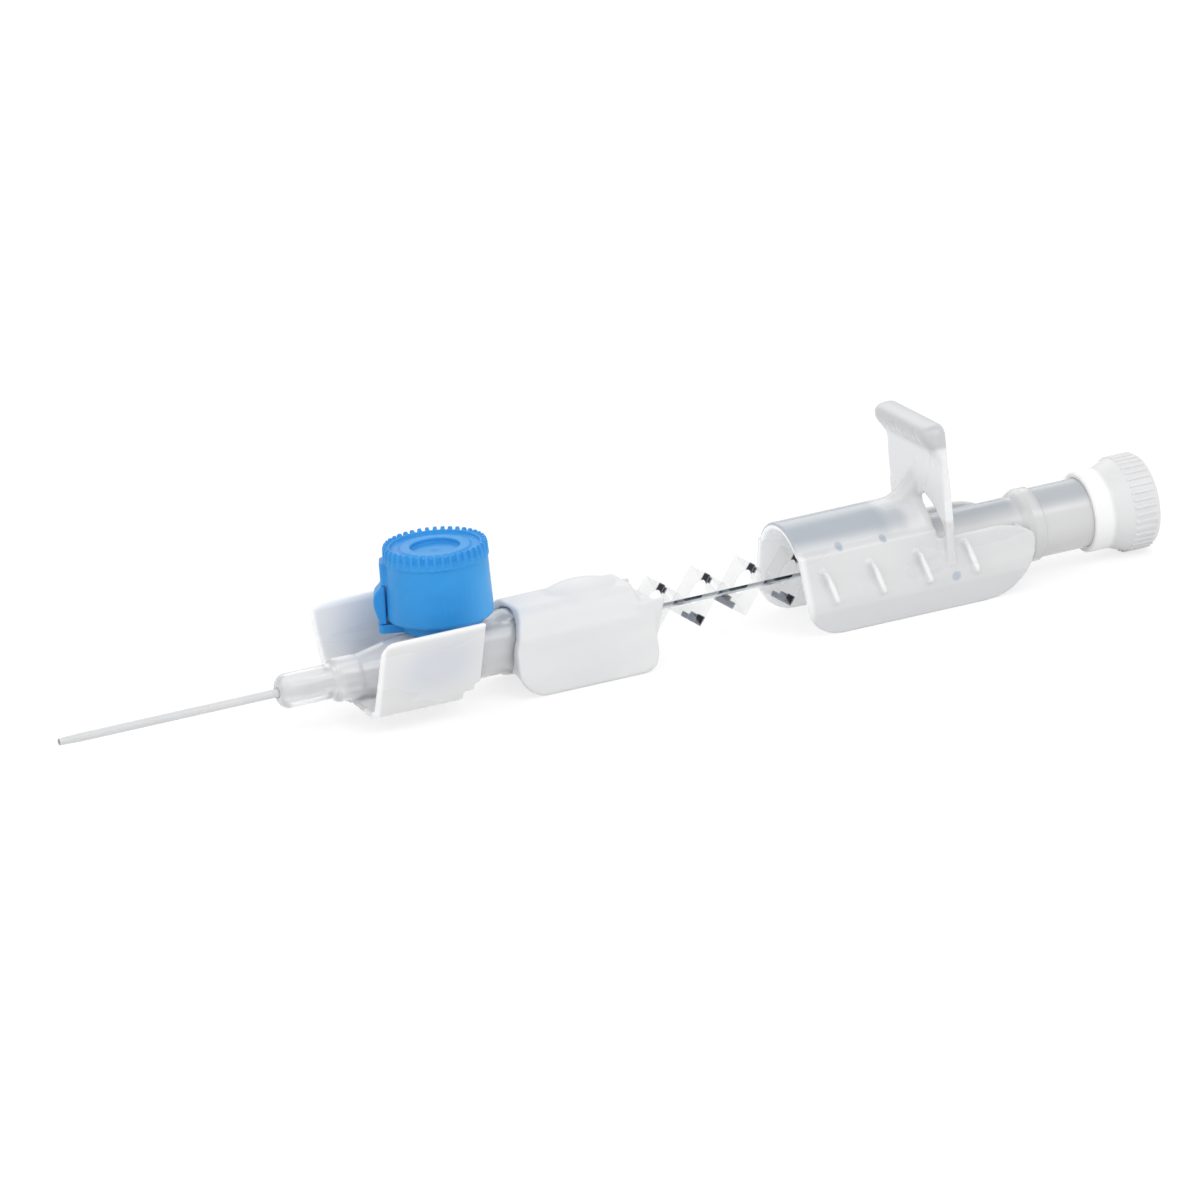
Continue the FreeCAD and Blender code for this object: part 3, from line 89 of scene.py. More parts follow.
class NodeTree:
    """Adds nodes to a tree and joins them."""

    def __init__(self, tree: bpy.types.NodeTree) -> None:
        """Starts on a tree.

        Args:
            tree: The node tree that is filled.
        """
        self.tree = tree

    def add(self, kind: str, **settings: object) -> bpy.types.Node:
        """Adds a node.

        Args:
            kind: The node's type without its ShaderNode prefix.
            settings: Properties of the node.

        Returns:
            The new node.
        """
        node = self.tree.nodes.new(f"ShaderNode{kind}")
        for key, value in settings.items():
            setattr(node, key, value)
        return node

    def link(self, start: bpy.types.NodeSocket, end: bpy.types.NodeSocket) -> None:
        """Joins an output to an input.

        Args:
            start: The output.
            end: The input.
        """
        self.tree.links.new(start, end)

    def put(self, socket: bpy.types.NodeSocket, value: object) -> None:
        """Joins a socket to an input, or sets the input to a plain value.

        Args:
            socket: The input.
            value: Another node's output, or a number, colour or vector.
        """
        if isinstance(value, bpy.types.NodeSocket):
            self.link(value, socket)
        else:
            socket.default_value = value

    def feed(self, node: bpy.types.Node, values: dict[str, object]) -> bpy.types.Node:
        """Puts values on several inputs of a node.

        Args:
            node: The node.
            values: The name of each input and its socket or plain value.

        Returns:
            The same node.
        """
        for name, value in values.items():
            self.put(node.inputs[name], value)
        return node

    def math(self, operation: str, *values: object) -> bpy.types.NodeSocket:
        """Works out a number.

        Args:
            operation: The name of the Math node's operation.
            values: Sockets or numbers.

        Returns:
            The result's socket.
        """
        node = self.add("Math", operation=operation)
        for i, value in enumerate(values):
            self.put(node.inputs[i], value)
        return node.outputs[0]

    def ramp(self, value: object, low: float, high: float, first: float = 0.0,
             last: float = 1.0) -> bpy.types.NodeSocket:
        """Maps a number smoothly from one range to another.

        Args:
            value: The number's socket.
            low: Where the result is first.
            high: Where the result is last.
            first: The result at low.
            last: The result at high.

        Returns:
            The result's socket.
        """
        node = self.add("MapRange", interpolation_type="SMOOTHSTEP")
        self.feed(node, {"Value": value, "From Min": low, "From Max": high, "To Min": first, "To Max": last})
        return node.outputs["Result"]

    def between(self, value: object, low: float, high: float, fade: float) -> bpy.types.NodeSocket:
        """Masks where a number is between two others.

        Args:
            value: The number's socket.
            low: The lower border.
            high: The upper border.
            fade: How far the mask fades to either side of a border.

        Returns:
            The mask's socket.
        """
        return self.math("MULTIPLY", self.ramp(value, low - fade, low + fade),
                         self.ramp(value, high - fade, high + fade, 1.0, 0.0))

    def noise(self, place: bpy.types.NodeSocket, scale: object, detail: float,
              breakup: float = 0.5) -> bpy.types.NodeSocket:
        """Gives soft noise.

        Args:
            place: Where it is taken.
            scale: How fine it is.
            detail: How many finer layers it has.
            breakup: How strong those layers are.

        Returns:
            The noise's socket, from 0 to 1.
        """
        node = self.add("TexNoise", noise_dimensions="3D")
        self.feed(node, {"Vector": place, "Scale": scale, "Detail": detail, "Roughness": breakup})
        return node.outputs["Fac"]

    def place(self) -> dict[str, bpy.types.NodeSocket]:
        """Gives the place on the object.

        Returns:
            The sockets of X, Y and Z, in metres.
        """
        parts = self.feed(self.add("SeparateXYZ"), {"Vector": self.add("TexCoord").outputs["Object"]})
        return {axis: parts.outputs[axis] for axis in "XYZ"}

    def choose(self, share: bpy.types.NodeSocket, first: bpy.types.NodeSocket,
               second: bpy.types.NodeSocket) -> bpy.types.NodeSocket:
        """Mixes two shaders.

        Args:
            share: How much of the second shader shows.
            first: The first shader.
            second: The second shader.

        Returns:
            The mixed shader's socket.
        """
        node = self.add("MixShader")
        for i, socket in enumerate((share, first, second)):
            self.link(socket, node.inputs[i])
        return node.outputs["Shader"]

    def mix(self, share: object, first: object, second: object) -> bpy.types.NodeSocket:
        """Mixes two colours.

        Args:
            share: How much of the second colour shows.
            first: The first colour or its socket.
            second: The second colour or its socket.

        Returns:
            The mixed colour's socket.
        """
        node = self.add("Mix", data_type="RGBA")
        self.put(node.inputs["Factor"], share)
        self.put(node.inputs["A"], opaque(first))
        self.put(node.inputs["B"], opaque(second))
        return node.outputs["Result"]


def opaque(colour: object) -> object:
    """Gives a plain colour its fourth number.

    Args:
        colour: Three numbers, or a socket.

    Returns:
        Four numbers, or the same socket.
    """
    return (*colour, 1.0) if isinstance(colour, tuple) and len(colour) == 3 else colour


class Effect(Enum):
    """Shader groups that several finishes share."""

    CLOUD = "moulding_cloud"
    GRAIN = "surface_grain"
    REGION = "region_mask"


def effect_group(effect: Effect) -> bpy.types.NodeTree:
    """Finds a shared shader group, or builds it the first time.

    Args:
        effect: Which group.

    Returns:
        The group.
    """
    found = bpy.data.node_groups.get(effect.value)
    if found:
        return found
    group = bpy.data.node_groups.new(effect.value, "ShaderNodeTree")
    builder = {Effect.CLOUD: build_cloud, Effect.GRAIN: build_grain, Effect.REGION: build_region}[effect]
    builder(group)
    return group


def apply_effect(tree: NodeTree, effect: Effect, values: dict[str, object]) -> bpy.types.NodeSocket:
    """Uses a shared shader group in a tree.

    Args:
        tree: The tree.
        effect: Which group.
        values: The name of each of its inputs and its value.

    Returns:
        The socket of the group's result.
    """
    return tree.feed(tree.add("Group", node_tree=effect_group(effect)), values).outputs[0]


def group_sockets(group: bpy.types.NodeTree, inputs: dict[str, float],
                  outputs: dict[str, str]) -> tuple[bpy.types.Node, bpy.types.Node]:
    """Gives a group its named sockets.

    Args:
        group: The group.
        inputs: The name and default of each number that goes in.
        outputs: The name and socket type of each result.

    Returns:
        The group's input and output nodes.
    """
    for name, number in inputs.items():
        socket = group.interface.new_socket(name, in_out="INPUT", socket_type="NodeSocketFloat")
        socket.default_value = number
    for name, kind in outputs.items():
        group.interface.new_socket(name, in_out="OUTPUT", socket_type=kind)
    return group.nodes.new("NodeGroupInput"), group.nodes.new("NodeGroupOutput")


CLOUD_SCALE = 180.0
CLOUD_STRETCH = 0.35
CLOUD_DETAIL = 3.0
CLOUD_BREAKUP = 0.55
CLOUD_BORDERS = (0.35, 0.65)
FINE_SCALE = 4000.0
FINE_DETAIL = 2.0
FINE_SHARE = 0.35
BROAD_DETAIL = 1.0
BROAD_SCALE = 0.12


def build_cloud(group: bpy.types.NodeTree) -> None:
    """Fills the group that gives soft flow clouds, as in a moulded translucent plastic.

    Args:
        group: The empty group.
    """
    start, end = group_sockets(group, {"Scale": CLOUD_SCALE, "Stretch": CLOUD_STRETCH},
                               {"Mask": "NodeSocketFloat"})
    tree = NodeTree(group)
    spread = tree.feed(tree.add("CombineXYZ"), {"X": start.outputs["Stretch"], "Y": 1.0, "Z": 1.0})
    scaled = tree.add("VectorMath", operation="MULTIPLY")
    tree.link(tree.add("TexCoord").outputs["Object"], scaled.inputs[0])
    tree.link(spread.outputs["Vector"], scaled.inputs[1])
    noise = tree.noise(scaled.outputs["Vector"], start.outputs["Scale"], CLOUD_DETAIL, CLOUD_BREAKUP)
    tree.link(tree.ramp(noise, *CLOUD_BORDERS), end.inputs["Mask"])


def build_grain(group: bpy.types.NodeTree) -> None:
    """Fills the group that gives the fine grain of a mould's surface.

    Args:
        group: The empty group.
    """
    start, end = group_sockets(group, {"Scale": FINE_SCALE}, {"Height": "NodeSocketFloat"})
    tree = NodeTree(group)
    place = tree.add("TexCoord").outputs["Object"]
    scale = start.outputs["Scale"]
    fine = tree.math("MULTIPLY", tree.noise(place, scale, FINE_DETAIL), FINE_SHARE)
    broad = tree.noise(place, tree.math("MULTIPLY", scale, BROAD_SCALE), BROAD_DETAIL)
    tree.link(tree.math("ADD", fine, broad), end.inputs["Height"])


def build_region(group: bpy.types.NodeTree) -> None:
    """Fills the group that masks a box of the object, with soft borders.

    Args:
        group: The empty group.
    """
    borders = {f"{side} {axis}": 0.0 for axis in "XYZ" for side in ("Low", "High")}
    start, end = group_sockets(group, borders | {"Fade": 0.0}, {"Mask": "NodeSocketFloat"})
    tree = NodeTree(group)
    place = tree.place()
    place["Y"] = tree.math("ABSOLUTE", place["Y"])
    fade = start.outputs["Fade"]
    mask = 1.0
    for axis, along in place.items():
        for side, first, last in (("Low", 0.0, 1.0), ("High", 1.0, 0.0)):
            border = start.outputs[f"{side} {axis}"]
            step = tree.ramp(along, tree.math("SUBTRACT", border, fade), tree.math("ADD", border, fade),
                             first, last)
            mask = tree.math("MULTIPLY", mask, step)
    tree.link(mask, end.inputs["Mask"])


@dataclass(frozen=True)
class Region:
    """A box of the object in which a finish gets a different tint or gloss, in mm; y is from the middle
    plane. Most of the script's regions are painted shade and highlights.
    """

    x: Point
    z: Point
    colour: Colour
    roughness: float | None = None
    fade: float = 0.4
    share: float = 1.0
    y: Point = (-20.0, 20.0)

    def mask(self, tree: NodeTree) -> bpy.types.NodeSocket:
        """Masks the region.

        Args:
            tree: The material's tree.

        Returns:
            The mask's socket.
        """
        values = {"Fade": self.fade * MM}
        for axis, (low, high) in (("X", self.x), ("Y", self.y), ("Z", self.z)):
            values |= {f"Low {axis}": low * MM, f"High {axis}": high * MM}
        return tree.math("MULTIPLY", apply_effect(tree, Effect.REGION, values), self.share)


@dataclass(frozen=True)
class Spot:
    """A small oval mark on or in a wall, also used for painted highlights and painted shade, by its place and
    radii along the needle and up, in mm.
    """

    centre: Point
    radius: Point
    colour: Colour
    share: float
    lean: float = 0.0
    fade: float = 0.3

    def mask(self, tree: NodeTree) -> bpy.types.NodeSocket:
        """Masks the spot.

        Args:
            tree: The material's tree.

        Returns:
            The mask's socket.
        """
        place = tree.place()
        up = tree.math("SUBTRACT", place["Z"], self.centre[1] * MM)
        along = tree.math("SUBTRACT", place["X"], self.centre[0] * MM)
        along = tree.math("ADD", along, tree.math("MULTIPLY", up, self.lean))
        squares = [tree.math("POWER", tree.math("DIVIDE", way, radius * MM), 2.0)
                   for way, radius in zip((along, up), self.radius)]
        reach = tree.math("SQRT", tree.math("ADD", *squares))
        return tree.ramp(reach, 1.0 - self.fade, 1.0 + self.fade, self.share, 0.0)


@dataclass(frozen=True)
class Lining:
    """The inside of the grip's arch, given a paler colour and a glow by emission, both painted to stand in
    for light coming through its thin walls, in mm.

    Each of the walls gives half the arch's width at the floor and how much that grows with the height.
    """

    colour: Colour
    glow: Colour
    end: float = 35.6
    walls: tuple[Point, ...] = ((5.65, 0.08), (6.99, -0.273))
    foot: float = 8.45
    centre: float = 6.11
    radius: float = 4.9
    fade: float = 0.12

    def mask(self, tree: NodeTree) -> bpy.types.NodeSocket:
        """Masks what lies inside the middle of the walls.

        Args:
            tree: The material's tree.

        Returns:
            The mask's socket.
        """
        place = tree.place()
        across = tree.math("ABSOLUTE", place["Y"])
        lines = [tree.math("ADD", tree.math("MULTIPLY", place["Z"], slope), base * MM)
                 for base, slope in self.walls]
        between = self.below(tree, tree.math("SUBTRACT", across, tree.math("MINIMUM", *lines)), 0.0)
        up = tree.math("SUBTRACT", place["Z"], self.centre * MM)
        squares = [tree.math("POWER", way, 2.0) for way in (across, up)]
        arc = self.below(tree, tree.math("SQRT", tree.math("ADD", *squares)), self.radius)
        low = self.below(tree, place["Z"], self.foot)
        inside = tree.math("MULTIPLY", between, tree.math("MAXIMUM", arc, low))
        return tree.math("MULTIPLY", inside, self.below(tree, place["X"], self.end))

    def below(self, tree: NodeTree, value: bpy.types.NodeSocket, limit: float) -> bpy.types.NodeSocket:
        """Masks where a number is below a limit.

        Args:
            tree: The material's tree.
            value: The number, in metres.
            limit: The limit, in millimetres.

        Returns:
            The mask's socket.
        """
        return tree.ramp(value, (limit - self.fade) * MM, (limit + self.fade) * MM, 1.0, 0.0)


class Finish(ABC):
    """A finish, whose material is built once and shared by the pieces that have it."""

    name: str
    colour: Colour

    def material(self) -> bpy.types.Material:
        """Builds the finish, or finds it where it is built already.

        Returns:
            The material.
        """
        found = bpy.data.materials.get(self.name)
        if found:
            return found
        made = bpy.data.materials.new(self.name)
        made.use_nodes = True
        made.diffuse_color = (*self.colour, 1.0)
        self.fill(NodeTree(made.node_tree), made.node_tree.nodes["Principled BSDF"])
        return made

    @abstractmethod
    def fill(self, tree: NodeTree, shader: bpy.types.Node) -> None:
        """Fills the material's tree.

        Args:
            tree: The tree.
            shader: The tree's shader.
        """


@dataclass(frozen=True)
class Plastic(Finish):
    """A moulded plastic whose colour and gloss drift slightly over the surface, with regions that can paint
    shade, highlights and a glow into it.
    """

    name: str
    colour: Colour
    cloud_colour: Colour
    roughness: float = 0.35
    roughness_spread: float = 0.08
    transmission: float = 0.0
    refraction: float = 1.49
    cloud_scale: float = CLOUD_SCALE
    grain_scale: float = FINE_SCALE
    grain_depth: float = 0.000004
    specular: float = 0.5
    coat: float = 0.0
    subsurface: float = 0.0
    subsurface_reach: float = 0.0008
    regions: tuple[Region | Spot | Lining, ...] = ()

    def fill(self, tree: NodeTree, shader: bpy.types.Node) -> None:
        """Fills the material's tree.

        Args:
            tree: The tree.
            shader: The tree's shader.
        """
        mask = apply_effect(tree, Effect.CLOUD, {"Scale": self.cloud_scale})
        colour = tree.mix(mask, self.colour, self.cloud_colour)
        low = self.roughness - self.roughness_spread / 2
        gloss = tree.ramp(mask, 0.0, 1.0, low, low + self.roughness_spread)
        # Each region or spot mixes its colour in; most are painted shade and highlights, and a Lining adds a
        # painted glow by emission.
        for region in self.regions:
            share = region.mask(tree)
            if isinstance(region, Lining):
                glow = tree.mix(share, UNLIT, region.glow)
                tree.feed(shader, {"Emission Color": glow, "Emission Strength": 1.0})
            colour = tree.mix(share, colour, region.colour)
            if isinstance(region, Region) and region.roughness is not None:
                rest = tree.math("MULTIPLY", gloss, tree.math("SUBTRACT", 1.0, share))
                gloss = tree.math("ADD", rest, tree.math("MULTIPLY", share, region.roughness))
        height = apply_effect(tree, Effect.GRAIN, {"Scale": self.grain_scale})
        bump = tree.feed(tree.add("Bump"), {"Strength": 1.0, "Distance": self.grain_depth, "Height": height})
        tree.feed(shader, {
            "Base Color": colour, "Roughness": gloss, "Normal": bump.outputs["Normal"],
            "IOR": self.refraction, "Specular IOR Level": self.specular,
            "Transmission Weight": self.transmission, "Coat Weight": self.coat,
            "Subsurface Weight": self.subsurface, "Subsurface Scale": self.subsurface_reach,
            "Subsurface Radius": NEUTRAL})


@dataclass(frozen=True)
class Steel(Finish):
    """Drawn stainless steel with fine lines along its length, and where given a painted dark reflection along
    its upper side.
    """

    name: str
    colour: Colour
    line_colour: Colour
    roughness: float = 0.22
    roughness_rise: float = 1.5
    line_scale: float = 9000.0
    line_stretch: float = 0.01
    # Colour and heights, in mm, of the painted dark reflection along the upper side.
    dark: Colour | None = None
    dark_from: float = 5.18
    dark_to: float = 5.34

    def fill(self, tree: NodeTree, shader: bpy.types.Node) -> None:
        """Fills the material's tree.

        Args:
            tree: The tree.
            shader: The tree's shader.
        """
        mask = apply_effect(tree, Effect.CLOUD, {"Scale": self.line_scale, "Stretch": self.line_stretch})
        colour = tree.mix(mask, self.colour, self.line_colour)
        # Painted reflection: darker above the height dark_from.
        if self.dark:
            upper = tree.ramp(tree.place()["Z"], self.dark_from * MM, self.dark_to * MM)
            colour = tree.mix(upper, colour, self.dark)
        gloss = tree.ramp(mask, 0.0, 1.0, self.roughness, self.roughness * self.roughness_rise)
        tree.feed(shader, {"Base Color": colour, "Roughness": gloss, "Metallic": 1.0})


BLUE_GREY = (0.36, 0.43, 0.52)
# Near-white for painted highlights on edges and ribs.
HIGHLIGHT_WHITE = (0.93, 0.933, 0.938)
UNDER = -1.0
WING_RUN = (-29.9, -17.0)
WING_REACH = (4.8, 12.0)
# Painted light on the wings: a blue-grey painted shade over the near wing's middle, and paler painted
# highlights along the front, top and bottom edges.
WING_SHADE_AND_HIGHLIGHTS = (
    Spot((-22.6, 7.0), (4.2, 2.9), (0.58, 0.635, 0.71), 0.5, lean=-0.2, fade=0.6),
    Region((-29.9, -29.15), (UNDER, 20.0), HIGHLIGHT_WHITE, fade=0.2, share=0.9, y=WING_REACH),
    Region(WING_RUN, (10.3, 12.0), HIGHLIGHT_WHITE, fade=0.25, share=0.9, y=WING_REACH),
    Region(WING_RUN, (UNDER, 2.2), HIGHLIGHT_WHITE, fade=0.25, share=0.6, y=WING_REACH))
# Painted light on the glassy core: a paler painted highlight on the nose, and a blue-grey painted shade along
# the top of the barrel.
CORE_HIGHLIGHT_AND_SHADE = (
    Region((-31.7, -28.9), (UNDER, 12.0), (0.98, 0.98, 0.98), fade=0.2, share=0.8),
    Region((-28.6, -10.0), (7.4, 9.4), (0.78, 0.81, 0.85), fade=0.7, share=0.7))
# Painted highlight: the cap's rear side is painted a lighter blue.
CAP_REAR_HIGHLIGHT = (
    Region((-16.4, -10.0), (9.0, 15.2), (0.085, 0.4, 0.82), fade=2.2, share=0.75),)
# Painted light on the grip: a darker painted shade along the bottom, and a paler painted highlight on the
# front edge.
SKIRT_SHADE_AND_EDGE_HIGHLIGHT = (
    Region((0.0, 48.0), (UNDER, 2.6), (0.63, 0.637, 0.655), fade=0.3, share=0.6),
    Region((19.0, 21.2), (UNDER, 8.8), HIGHLIGHT_WHITE, fade=0.3, share=0.55))
# Painted shade: blue-grey, with a gloss of its own, along the top of the arch and under the fin's opening
# beside the web.
ARCH_SHADE = (
    Region((0.0, 31.6), (9.3, 12.8), (0.4, 0.44, 0.49), 0.14, fade=0.9, share=0.85),
    Region((30.4, 34.0), (9.2, 11.2), (0.42, 0.46, 0.51), 0.2, fade=0.9, share=0.7, y=(1.8, 20.0)))
# Painted light on the fin: a grey painted shade on the rolled lip, and a paler painted highlight on the fin
# plate.
FIN_SHADE_AND_HIGHLIGHT = (
    Region((35.0, 38.3), (17.3, 20.3), (0.55, 0.555, 0.565), fade=0.3, share=0.85),
    Region((36.6, 38.3), (9.6, 17.6), (0.86, 0.863, 0.868), fade=0.3, share=0.8))
MOULD_MARKS = (
    Spot((25.45, 8.9), (0.4, 0.4), BLUE_GREY, 0.75),
    Spot((30.5, 8.75), (0.36, 0.36), BLUE_GREY, 0.75),
    Spot((37.9, 3.46), (0.5, 0.5), BLUE_GREY, 0.6))
RIB_START = 23.6
RIB_PITCH = 5.45
RIB_COUNT = 4
# Painted highlights: a pale leaning oval on each side-wall rib.
RIB_HIGHLIGHTS = tuple(Spot((RIB_START + RIB_PITCH * k, NEEDLE_HEIGHT), (0.36, 1.75), HIGHLIGHT_WHITE, 0.75, lean=0.28)
             for k in range(RIB_COUNT))
# Painted shade: darker blue-grey bands along the top of the flash chamber.
CHAMBER_TOP_SHADE = (
    Region((30.0, 47.4), (7.9, 12.0), (0.42, 0.47, 0.53), fade=0.9, share=0.85),
    Region((49.6, 60.0), (7.6, 12.0), (0.53, 0.57, 0.61), fade=0.6, share=0.8))
PLUG_TONES = (
    Region((57.6, 64.0), (UNDER, 12.0), (0.75, 0.753, 0.76), fade=0.3),)

FROSTED = Plastic("frosted_polymer", (0.765, 0.766, 0.769), (0.79, 0.791, 0.794), roughness=0.3,
                  coat=0.12, subsurface=0.4, cloud_scale=120.0, regions=WING_SHADE_AND_HIGHLIGHTS)
GLASSY = Plastic("glassy_polymer", (0.94, 0.947, 0.957), (0.97, 0.973, 0.978), roughness=0.12,
                 transmission=0.5, coat=0.4, cloud_scale=320.0, regions=CORE_HIGHLIGHT_AND_SHADE)
# The grip's Lining paints the inside of the arch paler and adds a painted glow.
GRIP_CLEAR = Plastic("grip_polymer", (0.68, 0.683, 0.69), (0.715, 0.717, 0.723), roughness=0.3,
                     coat=0.2, subsurface=0.35, regions=(
                         *SKIRT_SHADE_AND_EDGE_HIGHLIGHT, *ARCH_SHADE, *FIN_SHADE_AND_HIGHLIGHT,
                         Lining((0.93, 0.935, 0.94), (0.13, 0.13, 0.133)), *MOULD_MARKS, *RIB_HIGHLIGHTS))
CHAMBER_CLEAR = Plastic("chamber_polymer", (0.8, 0.803, 0.81), (0.83, 0.832, 0.838), roughness=0.2,
                        transmission=0.22, coat=0.3, regions=CHAMBER_TOP_SHADE)
TUBE_SOFT = Plastic("tube_moulding", (0.7, 0.705, 0.715), (0.74, 0.745, 0.75), roughness=0.26,
                    transmission=0.1, refraction=1.35)
BLUE = Plastic("blue_moulding", (0.027, 0.28, 0.68), (0.034, 0.31, 0.73), roughness=0.42, specular=0.28,
               subsurface=0.15, regions=CAP_REAR_HIGHLIGHT)
GUARD_WHITE = Plastic("white_moulding", (0.8, 0.805, 0.812), (0.84, 0.843, 0.847), roughness=0.4,
                      transmission=0.1, subsurface=0.3)
PLUG_WHITE = Plastic("plug_moulding", (0.92, 0.922, 0.926), (0.94, 0.94, 0.943), roughness=0.38,
                     subsurface=0.2, regions=PLUG_TONES)
SILICONE = Plastic("valve_silicone", (0.7, 0.71, 0.72), (0.76, 0.77, 0.78), roughness=0.5, transmission=0.4)
FIBRE = Plastic("vent_fibre", (0.84, 0.84, 0.83), (0.72, 0.72, 0.7), roughness=0.85, grain_scale=2500.0,
                grain_depth=0.00003)
# The needle's upper side gets a painted dark reflection.
STEEL = Steel("needle_steel", (0.5, 0.53, 0.56), (0.6, 0.63, 0.66), dark=(0.035, 0.055, 0.068))
WEDGE_STEEL = Steel("wedge_steel", (0.45, 0.46, 0.48), (0.55, 0.56, 0.58))


def dress(piece: bpy.types.Object, finish: Finish) -> None:
    """Gives a piece one finish all over.

    Args:
        piece: The object.
        finish: The finish.
    """
    piece.data.materials.clear()
    piece.data.materials.append(finish.material())


def soften(piece: bpy.types.Object, width: float, segments: int = 3, angle: float = 28.0) -> None:
    """Rounds the sharp edges of a piece.

    Args:
        piece: The object.
        width: The width of the round, in millimetres.
        segments: The number of faces across it.
        angle: The smallest turn between two faces that counts as an edge, in degrees.
    """
    bevel = piece.modifiers.new("edge_round", "BEVEL")
    bevel.width = width * MM
    bevel.segments = segments
    bevel.limit_method = "ANGLE"
    bevel.angle_limit = math.radians(angle)
    bevel.harden_normals = True
    bevel.use_clamp_overlap = True
    smooth = piece.modifiers.new("even_normals", "WEIGHTED_NORMAL")
    smooth.keep_sharp = True


def new_mesh(name: str, shape: bmesh.types.BMesh, smooth: bool = True) -> bpy.types.Object:
    """Makes an object of a finished mesh.

    Args:
        name: The piece's name.
        shape: The mesh, in metres.
        smooth: Whether its faces are shaded smooth.

    Returns:
        The object.
    """
    data = bpy.data.meshes.new(name)
    shape.to_mesh(data)
    shape.free()
    for face in data.polygons:
        face.use_smooth = smooth
    piece = bpy.data.objects.new(name, data)
    bpy.context.scene.collection.objects.link(piece)
    return piece


def apply_modifiers(piece: bpy.types.Object) -> None:
    """Makes a piece's modifiers part of its mesh.

    Args:
        piece: The object.
    """
    graph = bpy.context.evaluated_depsgraph_get()
    graph.update()
    data = bpy.data.meshes.new_from_object(piece.evaluated_get(graph), depsgraph=graph)
    piece.modifiers.clear()
    piece.data = data


def bridge(shape: bmesh.types.BMesh, rows: list[list[bmesh.types.BMVert]]) -> None:
    """Joins each closed row of points to the next by a band of faces.

    Args:
        shape: The mesh that is filled.
        rows: Rows of equally many points.
    """
    count = len(rows[0])
    for low, high in zip(rows, rows[1:]):
        for k in range(count):
            n = (k + 1) % count
            shape.faces.new((low[k], low[n], high[n], high[k]))


def close_rows(shape: bmesh.types.BMesh, rows: list[list[bmesh.types.BMVert]]) -> None:
    """Joins closed rows of points into a solid with two end faces.

    Args:
        shape: The mesh that is filled.
        rows: Rows of equally many points.
    """
    bridge(shape, rows)
    shape.faces.new(rows[0][::-1])
    shape.faces.new(rows[-1])
    bmesh.ops.recalc_face_normals(shape, faces=shape.faces)


def fresh_copy(node: str) -> bmesh.types.BMesh:
    """Copies a CAD node's mesh, with the points of neighbouring faces joined.

    Args:
        node: The node's name.

    Returns:
        The mesh.
    """
    shape = bmesh.new()
    shape.from_mesh(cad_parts[node].data)
    bmesh.ops.remove_doubles(shape, verts=shape.verts, dist=WELD * MM)
    return shape


def one_skin(name: str, shapes: list[bmesh.types.BMesh], voxel: float, rounds: int) -> bpy.types.Object:
    """Melts shapes into one moulded skin whose edges and inner corners are rounded.

    Args:
        name: The piece's name.
        shapes: Closed meshes, in metres.
        voxel: The size of the grid, in millimetres.
        rounds: How often the skin is smoothed.

    Returns:
        The object.
    """
    whole = bmesh.new()
    for shape in shapes:
        spare = bpy.data.meshes.new("spare")
        shape.to_mesh(spare)
        shape.free()
        whole.from_mesh(spare)
        bpy.data.meshes.remove(spare)
    piece = new_mesh(name, whole)
    skin = piece.modifiers.new("one_skin", "REMESH")
    skin.mode = "VOXEL"
    skin.voxel_size = voxel * MM
    skin.use_smooth_shade = True
    soft = piece.modifiers.new("soft_edges", "SMOOTH")
    soft.factor = 0.5
    soft.iterations = rounds
    apply_modifiers(piece)
    return piece


def polish(piece: bpy.types.Object, rounds: int, above: float) -> None:
    """Smooths the upper part of a skin further.

    Args:
        piece: The object.
        rounds: How often it is smoothed.
        above: The height from which it is smoothed, in millimetres.
    """
    group = piece.vertex_groups.new(name="polished")
    group.add([v.index for v in piece.data.vertices if v.co.z > above * MM], 1.0, "REPLACE")
    soft = piece.modifiers.new("polish", "SMOOTH")
    soft.factor = 0.5
    soft.iterations = rounds
    soft.vertex_group = group.name
    apply_modifiers(piece)


def stand_for(piece: bpy.types.Object, node: str, body: Body, finish: Finish) -> None:
    """Dresses a piece and puts it in the place of a CAD node.

    Args:
        piece: The object.
        node: The node's name.
        body: The body that carries both.
        finish: The finish.
    """
    dress(piece, finish)
    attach(piece, body.value)
    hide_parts(node)
    LOG.info("%s stands for %s", piece.name, node)


@dataclass
class CatheterSet:
    """The soft tube, its metal wedge, the winged hub and the valve sleeve in it."""

    voxel: float = 0.17
    rounds: int = 7
    core_radius: float = 4.05
    core_half_width: float = 3.9

    def build(self) -> None:
        """Moulds the hub anew with soft edges and a glassy core, and dresses the pieces round it."""
        for node, finish in (("catheter_tube", TUBE_SOFT), ("catheter_wedge", WEDGE_STEEL),
                             ("port_valve", SILICONE)):
            dress(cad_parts[node], finish)
        hub = one_skin("hub_moulding", [fresh_copy("catheter_hub")], self.voxel, self.rounds)
        stand_for(hub, "catheter_hub", Body.CATHETER, FROSTED)
        hub.data.materials.append(GLASSY.material())
        for face in hub.data.polygons:
            middle = face.center / MM
            reach = math.hypot(middle.y, middle.z - NEEDLE_HEIGHT)
            if reach < self.core_radius and abs(middle.y) < self.core_half_width:
                face.material_index = 1


def swept_ring(outline: tuple[Point, ...], steps: int = 120) -> bmesh.types.BMesh:
    """Turns a closed outline round the port's axis.

    Args:
        outline: Radii and heights, in millimetres.
        steps: The number of faces round the ring.

    Returns:
        The closed mesh, round the origin.
    """
    shape = bmesh.new()
    rows = []
    for step in range(steps):
        turn = 2 * math.pi * step / steps
        rows.append([shape.verts.new((r * math.cos(turn) * MM, r * math.sin(turn) * MM, z * MM))
                     for r, z in outline])
    bridge(shape, rows + rows[:1])
    bmesh.ops.recalc_face_normals(shape, faces=shape.faces)
    return shape


